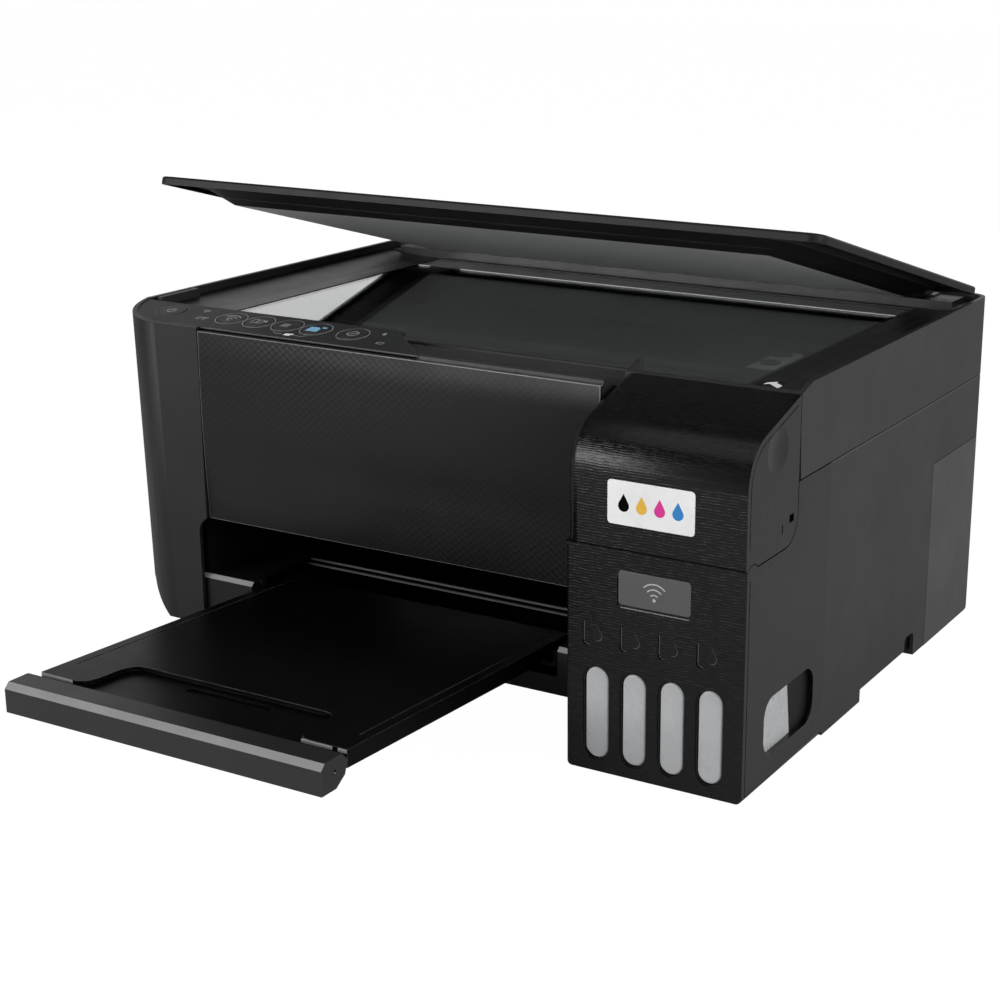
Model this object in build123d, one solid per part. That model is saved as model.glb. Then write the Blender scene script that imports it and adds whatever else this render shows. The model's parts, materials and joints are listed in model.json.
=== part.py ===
"""Ink-tank inkjet printer with a flatbed scanner on top.

The model is drawn in millimetres with X to the right, Y to the back and Z up.
X = 0 is the middle of the body, Y = 0 the front face of the ink tank unit and
Z = 0 the table.  save() moves every piece along Y, so that the finished part
has its origin under the middle of its box.  The document cover is built shut
and then turned to the angle at which it stands ajar.
"""
from build123d import *
from math import atan2, cos, degrees, pi, radians, sin, sqrt, tan
import os

# ---- overall body ---------------------------------------------------------
body_w = 375.0              # width over the side covers
half_w = body_w / 2
far = 2 * body_w            # longer than any piece, for cutting
front_y = 30.4              # front face of the main body
case_back_y = 295.0         # rear wall of the case
feeder_back_y = 347.0       # rearmost point of the paper feeder
rim_z = 174.5               # top of the scanner rim
seam_z = 133.0              # joint between scanner unit and lower case
skirt_z = 1.0               # lower edge of the side covers
wall = 2.4                  # moulded wall
seam = 0.6                  # visible gap between neighbouring shells
run = 0.4                   # gap between pieces that slide past each other
pin_fit = 0.05              # radial clearance of pins in bores
front_corner_r = 32.0       # upright edge at the front left
left_lean = 1.57            # degrees by which the left side leans in towards its foot
back_corner_r = 10.0        # upright edges at the back
undercut_z = 14.0           # height of the front edge above the table
undercut_y = 66.0           # where the undercut meets the skirt
belly_r = 30.0              # lower left edge of the body
toe_r = 30.0                # lower end of the rounded front left edge
rear_foot_r = 12.0          # lower rear edge of the body

# ---- side covers ----------------------------------------------------------
corner_x = -half_w + 59.5   # right edge of the left corner cover
exit_x = corner_x - 5.5     # left edge of the paper exit
notch_y = 92.0              # rear edge of the left corner cover
tank_back_y = 86.0          # joint between tank housing and right side cover
rear_panel_y = 220.5        # front edge of the right rear cover
rear_panel_z = 99.5         # top edge of the right rear cover
cover_wrap = 14.0           # how far side covers reach round the corners
sill_y0 = 133.0             # raised stretch of the right skirt
sill_y1 = 192.0
sill_z = 7.3
foot_notch_w = 13.0
foot_notch_h = 14.0

# ---- front panel and paper exit -------------------------------------------
panel_x1 = half_w - 87.1    # right edge of the front panel
panel_top_z = 168.5
panel_bottom_z = 71.6
panel_lean = 2.0            # how far the lower edge stands back
panel_bow = 1.2             # sagitta of the bowed face
panel_return = 9.0          # depth of the folded lower edge
exit_r = 9.0                # rounded upper left corner of the exit
beam_top_z = 40.5           # sill beside the output tray
beam_bottom_z = 19.5
beam_depth = 9.0

# ---- control panel ---------------------------------------------------------
deck_front_z = 170.0        # control panel plane at its front edge
deck_back_z = 174.0         # and at its rear edge
deck_front_y = 32.0
deck_back_y = 60.4
deck_t = 2.4
deck_end_back_x = corner_x + 101.0     # slanting right end
deck_end_front_x = deck_end_back_x + 31.0
deck_end_r = 9.0
button_r = 7.2
button_t = 2.0
button_gap = 0.35
button_stem_r = 2.2
button_travel = 0.8
button_y = 49.0
power_x = corner_x - 31.5
network_x = corner_x + 7.2
status_x = corner_x + 24.6
mono_x = corner_x + 42.3
color_x = corner_x + 59.8
stop_x = corner_x + 81.8
button_xs = [power_x, network_x, status_x, mono_x, color_x, stop_x]
scoop_r = 14.0              # finger scoop beside the control panel
scoop_y = 47.0
scoop_depth = 6.5
scoop_rise = 3.0            # from its deepest line to its rear edge

# ---- ink tank unit ----------------------------------------------------------
tank_x0 = half_w - 86.5     # left face
tank_edge_r = 6.0           # rounded left front edge of the cover
housing_edge_r = 1.2        # and of the housing
housing_toe_r = 3.0         # lower corners of the housing's front
tank_seam_z = 106.0         # joint between housing and cover
tank_deck_z = 97.0          # floor under the caps
tank_deck_t = 2.4
cover_proud = 1.2           # the cover stands this far in front of the housing
cover_wall = 2.0
cover_back_y = 49.7
cover_back_z = 171.0
cover_bend_z = 139.5        # where the upright face starts to bend back
cover_bend_r = 22.5
cover_top_slope = 16.2      # degrees
cover_corner_r = 12.0       # lower rear corner
hinge_y = 5.0               # cover hinge
hinge_z = 101.0
hinge_pin_r = 1.3
hinge_hub_r = 2.6
hinge_sweep_r = 7.2         # everything of the cover lies outside this radius
hinge_arm_t = 2.2
window_count = 4
window_x = tank_x0 + 15.0   # first window
window_pitch = 18.5
window_w = 12.2
window_z0 = 6.7
window_z1 = 50.3
side_window_y0 = 21.0
side_window_y1 = 74.0
side_window_z0 = 14.0
side_window_z1 = 41.0
side_window_r = 9.0
badge_x0 = tank_x0 + 25.2
badge_x1 = tank_x0 + 60.5
badge_z0 = 80.7
badge_z1 = 93.5
badge_depth = 0.7
groove_y = 2.6              # groove that sets the front plate off from the side
groove_w = 0.6
groove_d = 0.5
latch_y = 41.0              # small latch slot in the cover's right side
latch_z = 116.5
latch_w = 4.6
latch_h = 3.6
tank_w = 16.6
tank_front_y = 3.4
tank_rear_y = 58.0
tank_top_z = 92.0
tank_wall = 1.6
lens_gap = 0.4
neck_y = 23.0
neck_r = 5.5
neck_bore_r = 3.6
neck_top_z = 104.0
cap_r = 7.4
cap_t = 3.0
cap_plug_depth = 1.4
cap_hinge_y = 38.0
cap_hinge_z = 103.2
cap_pin_r = 1.2
cap_ear_r = 2.6

# ---- scanner unit -----------------------------------------------------------
scan_front_y = 61.4         # front wall behind the control panel
scan_floor_t = 2.2
shoulder_y = 61.5           # end of the sloping shoulder at the right front
shoulder_z = 171.0
rim_t = 2.8
rim_drop = 4.0              # upright inner face of the rim
bezel_z = 168.3             # flat border round the glass
bezel_w = 12.5
frame_t = 2.2
glass_x0 = -half_w + 42.5
glass_x1 = half_w - 32.5
glass_y0 = 66.0
glass_y1 = 267.0
glass_t = 3.0
glass_z = 168.0             # upper face of the glass
lid_axis_y = 285.0          # document cover hinge
lid_axis_z = 171.5
tilt_y = 287.0              # scanner unit hinge
tilt_z = 162.0
tilt_pin_r = 2.5
tilt_head_r = 4.5
tilt_post_t = 5.0
tilt_post_x = half_w - 19.5  # middle of each hinge post
tilt_pocket = 1.2
tilt_relief = 0.35          # room kept in front of the scanner unit as it is lifted

# ---- document cover ---------------------------------------------------------
lid_open = 15.0             # degrees at which it stands ajar
lid_x = half_w - 2.5
lid_front_y = 62.0
lid_back_y = 281.0
lid_top_z = 179.0
lid_t = 2.0
lid_skirt_t = 2.4
lid_gap = 0.5               # above the rim when shut
lid_corner_r = 7.0
pad_x0 = glass_x0 - 7.0
pad_x1 = glass_x1 + 5.0
pad_y0 = 72.0
pad_y1 = 265.0
pad_t = 2.6
pad_corner_r = 7.0
pad_bevel = 6.0             # width of its sloping edge
carrier_flare = 8.0         # the lid bulges out to the pad over this width
lid_arm_x = half_w - 37.5
lid_arm_w = 16.0
lid_pin_r = 2.0
lid_knuckle_r = 4.2

# ---- scanning mechanism -----------------------------------------------------
sensor_w = 17.0
sensor_x = glass_x0 - 10.0
sensor_h = 11.0
sensor_glass_gap = 2.2
scan_rod_r = 3.0
scan_rod_y = 166.0
scan_rod_z = 145.5
scan_pulley_x = glass_x1 - 27.0
scan_pulley_y = 186.0
scan_pulley_r = 7.0
scan_pulley_h = 5.0

# ---- output tray ------------------------------------------------------------
tray_x0 = -101.0
tray_x1 = 66.0
tray_slope = 2.45           # degrees, rising to the front
tray_ref_y = 34.0
tray_ref_z = 37.6           # upper face at tray_ref_y
tray_t = 2.0
tray_skirt = 8.0
tray_skirt_t = 2.4
flange_w = 2.6              # guide flange at the rear of the tray
flange_t = 2.0
tray_tip_y = -114.0         # front end of the two arms
tray_edge_y = -84.5         # straight front edge between them
tray_rear_y = 62.0
tray_arm_w = 19.0
tray_border = 5.0           # fine groove along each side
tray_s_w = 15.0             # width of each S-shaped flank
tray_travel = 155.0         # from fully out to closed
leaf_gap = 0.6
leaf_t = 1.8
leaf_rear_y = 30.0
leaf_inset = 4.0
slot_x0 = -38.0
slot_x1 = 8.0
slot_w = 5.0
slot_y = -93.0
lip_back_y = -116.5
lip_front_y = -134.0
lip_top_z = 45.0
lip_bottom_z = 31.5
lip_bevel = 2.6
lip_x0 = -103.0
lip_x1 = 68.0

# ---- paper transport --------------------------------------------------------
paper_x0 = -half_w + 61.5   # path of the widest sheet, between the side walls
paper_x1 = half_w - 96.5
feed_y = 166.0
feed_z = 64.0
feed_r = 5.0
eject_y = 112.0
eject_r = 4.5
gear_module = 1.0
gear_w = 6.0
feed_teeth = 32
idler_teeth = 22
pinion_teeth = 16
pinion_angle = -25.0        # where the motor pinion meets the feed gear, degrees
gear_x = -half_w + 30.5     # left face of the gear train
platen_z = 66.5
platen_t = 6.0
cup_w = 42.0                # sealing cup of the capping station
cup_l = 30.0
cup_rim = 2.0
wiper_t = 1.2
rib_count = 14
star_r = 4.0
star_t = 0.8
star_count = 8
star_teeth = 12
star_gap = 0.5
pinch_r = 3.5
pinch_shaft_r = 1.5
shaft_r = 2.5

# ---- print carriage ---------------------------------------------------------
rail_y = 190.0
rail_t = 1.6
rail_z0 = 78.0
rail_z1 = 120.0
rail_x0 = -half_w + 11.5
rail_x1 = half_w - 15.5
plate_low_left = 28.0       # lower edge of the left side plate
plate_low_right = 6.0
guide_rod_r = 4.0
guide_rod_y = 178.0
guide_rod_z = 92.0
carriage_x = half_w - 55.5
carriage_w = 62.0
carriage_y0 = 124.0
carriage_y1 = 184.6
carriage_z0 = 72.0
carriage_z1 = 112.0
head_h = 3.5
belt_z = 104.0
belt_w = 4.0
belt_t = 1.2
pulley_r = 6.0
drive_pulley_x = rail_x0 + 10.0
idler_pulley_x = rail_x1 - 10.5
motor_r = 15.0
motor_len = 32.0
motor_shaft_r = 1.5

# ---- rear paper feeder ------------------------------------------------------
feeder_x0 = paper_x0 - 20.0
feeder_x1 = paper_x1 + 39.0
feeder_front_y = 300.5
feeder_top_z = 176.0
feeder_bottom_z = 60.0
feeder_belly_y = feeder_back_y - 29.0
feeder_belly_z = 108.0
chute_angle = 28.0          # degrees from upright
chute_y = 326.0             # sheet plane at the top of the feeder
support_t = 3.0
support_len = 104.0
guide_w = 3.0
guide_z = 152.0             # height of the edge guide's slot
guide_travel = 100.0
guard_hub_r = 2.6
support_x0 = -110.0
support_x1 = 75.0
hopper_pin_r = 1.6
pickup_r = 14.0
pickup_w = 34.0
hopper_len = 62.0
hopper_t = 2.5

# ---- electrical -------------------------------------------------------------
inlet_x = -half_w + 43.0
inlet_z = 38.0
supply_inset = 34.0         # from the left side of the body
supply_w = 44.0
supply_l = 58.0
supply_h = 41.6
supply_z0 = 6.4
usb_x = half_w - 59.5
usb_z = 52.0

y_shift = -(feeder_back_y + lip_front_y) / 2
deck_slope = atan2(deck_back_z - deck_front_z, deck_back_y - deck_front_y)


# ---- small helpers ----------------------------------------------------------
def save(name, shape):
    """Write one piece, moved so that the origin lies under the middle of the part."""
    export_step(Pos(0, y_shift, 0) * shape, f"parts/{name}.step")


def block(x0, x1, y0, y1, z0, z1):
    return Pos((x0 + x1) / 2, (y0 + y1) / 2, (z0 + z1) / 2) * Box(x1 - x0, y1 - y0, z1 - z0)


def outline(*points):
    return make_face(Polyline(*points, close=True))


def prism_x(face, x0, x1):
    """Extrude a face drawn in (Y, Z) from x0 to x1."""
    return extrude(Plane.YZ.offset(x0) * face, amount=x1 - x0)


def prism_y(face, y0, y1):
    """Extrude a face drawn in (X, Z) from y0 to y1."""
    return extrude(Plane.XZ.offset(-y1) * face, amount=y1 - y0)


def prism_z(face, z0, z1):
    """Extrude a face drawn in (X, Y) from z0 to z1."""
    return extrude(Plane.XY.offset(z0) * face, amount=z1 - z0)


def rod_x(r, x0, x1, y, z):
    return Pos((x0 + x1) / 2, y, z) * Rot(0, 90, 0) * Cylinder(r, x1 - x0)


def rod_y(r, y0, y1, x, z):
    return Pos(x, (y0 + y1) / 2, z) * Rot(90, 0, 0) * Cylinder(r, y1 - y0)


def rod_z(r, z0, z1, x, y):
    return Pos(x, y, (z0 + z1) / 2) * Cylinder(r, z1 - z0)


def rounded(x0, x1, y0, y1, r):
    """Rectangle with four round corners in the drawing plane."""
    return Pos((x0 + x1) / 2, (y0 + y1) / 2) * RectangleRounded(x1 - x0, y1 - y0, r)


def turned(shape, angle, y, z):
    """Turn a shape about an axis along X through (y, z)."""
    return Pos(0, y, z) * Rot(angle, 0, 0) * Pos(0, -y, -z) * shape


# ---- outer form of the main body ----------------------------------------------
def body_form(inset):
    """Outer form of the main body, made smaller by inset on every side."""
    x0 = -half_w + inset
    x1 = half_w - inset
    y0 = front_y + inset
    y1 = case_back_y - inset
    z0 = skirt_z + inset
    plan = outline((x0, y0), (far, y0), (far, y1), (x0, y1))
    front_left = plan.vertices().sort_by(lambda v: v.X + v.Y)[0]
    plan = fillet(front_left, front_corner_r - inset).face()
    back_left = plan.vertices().sort_by(lambda v: v.X - v.Y)[0]
    plan = fillet(back_left, back_corner_r - inset).face()
    left = Pos(-x0, 0, -rim_z) * prism_z(plan, -50, rim_z + 50)
    left = Pos(x0, 0, rim_z) * Rot(0, -left_lean, 0) * left
    plan = outline((-far, y0 - 1), (x1, y0 - 1), (x1, y1), (-far, y1))
    back_right = plan.vertices().sort_by(lambda v: v.X + v.Y)[-1]
    plan = fillet(back_right, back_corner_r - inset).face()
    side = outline((y0, undercut_z + inset), (undercut_y, z0), (y1, z0), (y1, 200), (y0, 200))
    heel = side.vertices().sort_by(lambda v: v.X - v.Y)[-1]
    side = fillet(heel, rear_foot_r - inset).face()
    foot_x = x0 + lean_at(z0)
    front = outline((foot_x, z0), (x1, z0), (x1, 200), (foot_x, 200))
    belly = front.vertices().sort_by(lambda v: v.X + v.Y)[0]
    front = fillet(belly, belly_r - inset).face()
    front += outline((x0 - 5, belly_r), (foot_x + 1, belly_r), (foot_x + 1, 200), (x0 - 5, 200))
    solid = prism_z(plan, 0, rim_z) & prism_x(side, -half_w, half_w) & left
    return (solid & prism_y(front, 0, case_back_y)) - toe_cut(inset)


def toe_cut(inset):
    """Rounds the lower end of the upright front left edge, seen along its diagonal."""
    nearest = (front_y - half_w + 2 * front_corner_r + lean_at(toe_r / 2)) / sqrt(2) - front_corner_r
    s = nearest + toe_r
    z = skirt_z + toe_r
    tool = block(nearest - 60, s, -far, far, -50, z) - rod_y(toe_r - inset, -far - 1, far + 1, s, z)
    return Rot(0, 0, 45) * tool


def lean_at(z):
    """How far the left side has moved in at height z."""
    return (rim_z - z) * tan(radians(left_lean))


def deck_z(y):
    """Height of the control panel plane at y."""
    return deck_front_z + (y - deck_front_y) * tan(deck_slope)


def above_deck(drop):
    """Everything above the control panel plane, lowered by drop, in front of its rear edge."""
    return prism_x(
        outline(
            (0, deck_z(0) - drop),
            (deck_back_y + seam, deck_z(deck_back_y + seam) - drop),
            (deck_back_y + seam, 220),
            (0, 220),
        ),
        -half_w - 1,
        half_w + 1,
    )


def make_skins(skin):
    """Side, corner and rear covers, cut out of one common skin."""
    low = -5
    top = seam_z - seam / 2
    gap = seam / 2
    edge = half_w + 5
    inner = half_w - cover_wrap
    corner = skin & block(-edge, corner_x - gap, 0, notch_y - gap, low, rim_z)
    corner -= above_deck(-gap)
    corner -= exit_opening(0, notch_y - 10)
    left = skin & block(-edge, -inner, notch_y + gap, case_back_y + 1, low, top)
    left -= foot_notches(-1)
    right = skin & block(inner, edge, tank_back_y + gap, case_back_y + 1, low, top)
    rear_corner = block(inner - 1, edge + 1, rear_panel_y, case_back_y + 2, low, rear_panel_z)
    right_rear = right & block(inner, edge, rear_panel_y + gap, case_back_y + 1, low, rear_panel_z - gap)
    right -= rear_corner
    right -= block(inner - 1, edge, sill_y0, sill_y1 + foot_notch_w, low, sill_z)
    right -= foot_notches(1)
    back = skin & block(-inner + seam, inner - seam, case_back_y - 4, case_back_y + 1, low, top)
    return corner, left, right, right_rear, back


def exit_opening(y0, y1):
    """Space of the paper exit, with its round upper left corner."""
    top = panel_bottom_z + 1.0
    face = outline((exit_x, -50), (exit_x + 60, -50), (exit_x + 60, top), (exit_x, top))
    corner = face.vertices().sort_by(lambda v: v.Y - v.X)[-1]
    return prism_y(fillet(corner, exit_r).face(), y0, y1)


def foot_notches(side):
    """Dark pocket in the skirt above the middle foot."""
    x0, x1 = sorted((side * (half_w - cover_wrap - 1), side * (half_w + 1)))
    face = rounded(sill_y1, sill_y1 + foot_notch_w, skirt_z - 12, foot_notch_h, 3)
    return prism_x(face, x0, x1)


# ---- lower case ---------------------------------------------------------------
def tray_place(shape):
    """Place a shape drawn flat, with the tray's upper face at z = 0, on the sloping tray plane."""
    return Pos(0, tray_ref_y, tray_ref_z) * Rot(-tray_slope, 0, 0) * shape


def make_base_case():
    outer = wall + seam
    low_top = 26.0
    tub = (body_form(outer) - body_form(outer + 2.0)) & block(-half_w, half_w, 0, case_back_y, 0, low_top)
    tub -= block(tank_x0 - seam, half_w, 0, tank_back_y + seam, 0, low_top + 1)
    sill_y = front_y + wall + seam
    cheek_x = exit_x - 3.0
    for x0, x1 in ((cheek_x + 1, tray_x0 - 5.4), (tray_x1 + 10.4, panel_x1 - seam)):
        beam = block(x0, x1, sill_y, sill_y + beam_depth, beam_bottom_z, beam_top_z)
        crest = beam.edges().filter_by(Axis.X).sort_by(lambda e: e.center().Z - e.center().Y)[-1]
        tub += chamfer(crest, 2.0)
        tub += block(x0, x1, sill_y + beam_depth - 2.2, 96, beam_top_z - 2.4, beam_top_z)
    crest_z = channel_low_z(sill_y) + tray_skirt + 0.5
    crest = block(tray_x0 - 6, tray_x0 - seam, sill_y, sill_y + beam_depth, crest_z, beam_top_z)
    crest = chamfer(crest.edges().filter_by(Axis.X).sort_by(lambda e: e.center().Z - e.center().Y)[-1], 2.0)
    lip_closed_y = lip_back_y + tray_travel
    crest -= block(lip_x0 - seam, tray_x0, sill_y - 1, lip_closed_y + seam, crest_z - 1, beam_top_z + 1)
    tub += crest
    tub += block(cheek_x, cheek_x + 2.4, sill_y + 4, 104, 1, panel_bottom_z + 8) & body_form(outer)
    for x in (tray_x0, tray_x1):
        tub += tray_channel(x, -1 if x == tray_x0 else 1)
    for x in (tray_x0 - 4.2, tray_x1 + 4.2):
        for y in (60.0, 130.0, 200.0):
            tub += block(x - 1.6, x + 1.6, y, y + 10, 5.5, channel_low_z(y + 10) + 1.0)
    for x in (-tilt_post_x, tilt_post_x):
        tub += tilt_post(x) & body_form(outer)
    return tub


def channel_low_z(y):
    """Height of the underside of the tray channels at y."""
    return tray_ref_z - (y - tray_ref_y) * tan(radians(tray_slope)) - tray_skirt - run - 2.0


def tray_channel(x, side):
    """C-shaped runner for the tray's flange; side is -1 at the left and 1 at the right."""
    y0 = 8.0
    y1 = 192.0

    def strip(a, b, z0, z1):
        xs = sorted((x + side * a, x + side * b))
        return block(xs[0], xs[1], y0, y1, z0, z1)

    web = strip(flange_w + run, flange_w + run + 2.0, -tray_skirt - run - 2.0, -2.0)
    bottom = strip(-1.0, flange_w + run + 1.0, -tray_skirt - run - 2.0, -tray_skirt - run)
    top = strip(run, flange_w + run + 1.0, -tray_skirt + flange_t + run, -tray_skirt + flange_t + run + 1.6)
    return tray_place(web + bottom + top)


def tilt_post(x):
    """Upright hinge post of the scanner unit with a round head and a pin hole."""
    x0 = x - tilt_post_t / 2
    x1 = x + tilt_post_t / 2
    post = block(x0, x1, tilt_y - 6, tilt_y + 4, 5.5, tilt_z)
    post += rod_x(tilt_head_r, x0, x1, tilt_y, tilt_z)
    return post - rod_x(tilt_pin_r + pin_fit, x0 - 1, x1 + 1, tilt_y, tilt_z)


def make_feet():
    feet = None
    for x in (-150.0, 155.0):
        for y in (103.0, 268.0):
            foot = rod_z(8.0, 0, wall + seam + skirt_z, x, y)
            feet = foot if feet is None else feet + foot
    feet += rod_z(7.0, 0, skirt_z, 144.0, 14.0)
    return feet


# ---- front panel and the strip above it ----------------------------------------
def make_front_panel():
    bottom_y = front_y + panel_lean
    mid_z = (panel_top_z + panel_bottom_z) / 2
    mid_y = (front_y + bottom_y) / 2 - panel_bow
    lift = 0.6
    edges = [
        ThreePointArc((front_y, panel_top_z), (mid_y, mid_z), (bottom_y, panel_bottom_z)),
        Polyline(
            (bottom_y, panel_bottom_z),
            (bottom_y + panel_return, panel_bottom_z + lift),
            (bottom_y + panel_return, panel_bottom_z + wall + lift),
            (bottom_y + wall, panel_bottom_z + wall),
        ),
        ThreePointArc(
            (bottom_y + wall, panel_bottom_z + wall), (mid_y + wall, mid_z), (front_y + wall, panel_top_z)
        ),
        Line((front_y + wall, panel_top_z), (front_y, panel_top_z)),
    ]
    face = make_face(edges)
    panel = prism_x(face, corner_x + seam / 2, panel_x1)
    corner = rounded_corner_web()
    return panel + corner


def rounded_corner_web():
    """Fills the upper left corner of the paper exit with a round transition."""
    z = panel_bottom_z + 1.0
    y0 = front_y + panel_lean + 0.6
    web = block(corner_x + seam / 2, exit_x + exit_r, y0, y0 + 2.2, z - exit_r, z + 0.5)
    return web - exit_opening(y0 - 1, y0 + 4)


def deck_plan(gap):
    """Plan of the control panel, held gap inside the rim of the case."""
    edge = wall + gap
    x0 = -half_w + edge
    y0 = front_y + edge
    y1 = deck_back_y - gap
    slant = (deck_end_front_x - deck_end_back_x) / (deck_back_y - deck_front_y)
    end_x0 = deck_end_back_x + (deck_back_y - y0) * slant - gap
    end_x1 = deck_end_back_x - gap
    plan = outline((x0, y0), (end_x0, y0), (end_x1, y1), (x0, y1))
    keep = outline((x0, y0), (far, y0), (far, far), (x0, far))
    front_left = keep.vertices().sort_by(lambda v: v.X + v.Y)[0]
    plan = (plan & fillet(front_left, front_corner_r - edge)).face()
    tip = [v for v in plan.vertices() if abs(v.X - end_x1) < 0.01 and abs(v.Y - y1) < 0.01][0]
    return fillet(tip, deck_end_r).face()


def deck_slab(top, bottom):
    """Slab between two planes parallel to the control panel, given as depths below it."""
    y0 = front_y
    y1 = deck_back_y + 1
    face = outline(
        (y0, deck_z(y0) - top), (y1, deck_z(y1) - top), (y1, deck_z(y1) - bottom), (y0, deck_z(y0) - bottom)
    )
    return prism_x(face, -half_w, half_w)


def on_deck(shape, x, y):
    """Place a shape drawn about the origin on the control panel at (x, y)."""
    return Pos(x, y, deck_z(y)) * Rot(degrees(deck_slope), 0, 0) * shape


def make_control_panel():
    plate = prism_z(deck_plan(seam / 2), 150, 200) & deck_slab(0, deck_t)
    for x in button_xs:
        plate -= on_deck(Cylinder(button_r + button_gap, 12), x, button_y)
    return plate


def make_button(x):
    """Round key: cap, retaining flange below the panel and a stem for the switch."""
    proud = 0.3
    flange_z = -deck_t - 0.45
    cap = Pos(0, 0, (proud + flange_z) / 2) * Cylinder(button_r, proud - flange_z)
    cap = chamfer(cap.edges().sort_by(Axis.Z)[-1], 0.3)
    flange = Pos(0, 0, flange_z - 0.5) * Cylinder(button_r + 1.0, 1.0)
    stem = Pos(0, 0, flange_z - 2.6) * Cylinder(button_stem_r, 3.4)
    return on_deck(cap + flange + stem, x, button_y)


def make_front_strip():
    """Strip behind the front panel: carries the control panel and holds the finger scoop."""
    y0 = front_y + wall + seam / 2
    y1 = deck_back_y
    low = 158.0
    t = 2.2
    x0 = -half_w + wall + seam / 2
    outer = outline((y0, low), (y1, low), (y1, deck_z(y1)), (y0, deck_z(y0)))
    a = y0 + t
    b = y1 - t
    inner = outline((a, low - 1), (b, low - 1), (b, deck_z(b) - t), (a, deck_z(a) - t))
    envelope = prism_x(outer, x0, panel_x1) & body_form(wall + seam / 2)
    strip = envelope - prism_x(inner, x0 + t, panel_x1 - t)
    z = deck_z(scoop_y) - scoop_depth + scoop_r
    strip += rod_x(scoop_r + t, deck_end_back_x, panel_x1, scoop_y, z) & envelope
    low = z - scoop_r
    end = panel_x1 + 1
    strip += finger_ramp(low - t, low, scoop_y - 3) & envelope
    strip -= rod_x(scoop_r, deck_end_back_x + 4, end, scoop_y, z)
    strip -= finger_ramp(low, 200, scoop_y - 0.5)
    strip -= prism_z(deck_plan(0), 150, 200) & deck_slab(-5, deck_t)
    key_floor = deck_slab(deck_t + 6.5, deck_t + 8.5) & envelope
    strip += key_floor & block(-half_w, stop_x + 14, y0, y1, 0, 200)
    keys = block(power_x - 12, stop_x + 12, button_y - 10, deck_back_y - t, 150, 200)
    return strip - (keys & deck_slab(deck_t - 0.1, deck_t + 6.5))


def finger_ramp(z0, z1, y0):
    """Space behind the deepest line of the scoop, open towards the document cover's edge."""
    y1 = deck_back_y + 1
    side = outline((y0, z0), (scoop_y, z0), (y1, z0 + scoop_rise), (y1, z1 + scoop_rise), (y0, z1))
    run_x = (deck_end_front_x - deck_end_back_x) / (deck_back_y - deck_front_y)
    x0 = deck_end_back_x + 1.5
    plan = outline((x0 + (y1 - y0) * run_x, y0), (panel_x1 + 1, y0), (panel_x1 + 1, y1), (x0, y1))
    return prism_x(side, -half_w, half_w) & prism_z(plan, 100, 250)


# ---- ink tank unit --------------------------------------------------------------
def windows_x():
    return [window_x + i * window_pitch for i in range(window_count)]


def slot_face(x, half, z0, z1):
    """Upright window outline with full round ends, in (X, Z)."""
    return rounded(x - half, x + half, z0, z1, half - 0.01)


def make_tank_housing():
    low = skirt_z
    top = tank_seam_z - seam / 2
    back_top = seam_z - seam / 2
    step_y = cover_back_y + seam
    bend = cover_corner_r + seam
    back = tank_back_y
    side = outline((0, low), (back, low), (back, back_top), (step_y, back_top), (step_y, top), (0, top))
    corner = [v for v in side.vertices() if abs(v.Y - step_y) < 0.01 or abs(v.X - step_y) < 0.01]
    corner = sorted(corner, key=lambda v: v.Z + v.Y + v.X)[0]
    side = fillet(corner, bend).face()
    body = prism_x(side, tank_x0, half_w)
    edge = body.edges().filter_by(Axis.Z).sort_by(lambda e: e.center().X + e.center().Y)[0]
    body = fillet(edge, housing_edge_r)
    body -= toe_corners()
    hollow = block(tank_x0 + wall, half_w - wall, wall, tank_back_y + 1, low + wall, 200)
    body -= hollow
    bump = rod_x(hinge_sweep_r - run, tank_x0, half_w, hinge_y, hinge_z)
    bump &= block(0, far, 0, step_y, top - 1, rim_z)
    body += bump - hollow
    x0 = tank_x0 + wall
    x1 = half_w - wall
    deck = block(x0, x1, wall, step_y + wall, tank_deck_z - tank_deck_t, tank_deck_z)
    body += deck + block(x0, x1, step_y, step_y + wall, tank_deck_z, back_top)
    for x in windows_x():
        body -= prism_y(slot_face(x, window_w / 2, window_z0, window_z1), -1, wall + 1)
        body -= prism_y(slot_face(x, window_w / 2 + 0.7, window_z0 - 0.7, window_z1 + 0.7), -1, 0.7)
        body -= rod_z(neck_r + run, 0, 200, x, neck_y) & block(0, far, 0, step_y, tank_deck_z - 4, seam_z)
        body += cap_ears(x)
    side_window = rounded(side_window_y0, side_window_y1, side_window_z0, side_window_z1, side_window_r)
    body -= prism_x(side_window, half_w - wall - 1, half_w + 1)
    body -= block(badge_x0, badge_x1, -1, badge_depth, badge_z0, badge_z1)
    body -= block(half_w - groove_d, half_w + 1, groove_y, groove_y + groove_w, -5, top - 4)
    for x in (x0, x1):
        side_sign = 1 if x == x0 else -1
        pin_end = x + side_sign * (hinge_arm_t + 1.4)
        a, b = sorted((x - side_sign * 0.5, pin_end))
        body += rod_x(hinge_pin_r, a, b, hinge_y, hinge_z)
    return body


def toe_corners():
    """Rounds the two lower corners of the tank unit's front."""
    x0 = tank_x0 - 5
    x1 = half_w + 5
    r = housing_toe_r
    keep = rounded(tank_x0, half_w, skirt_z, tank_seam_z, r)
    keep += outline((x0, skirt_z + r), (x1, skirt_z + r), (x1, tank_seam_z + 40), (x0, tank_seam_z + 40))
    frame = outline((x0, -5), (x1, -5), (x1, skirt_z + r), (x0, skirt_z + r))
    return prism_y(frame - keep, -5, tank_back_y + 5)


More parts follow.
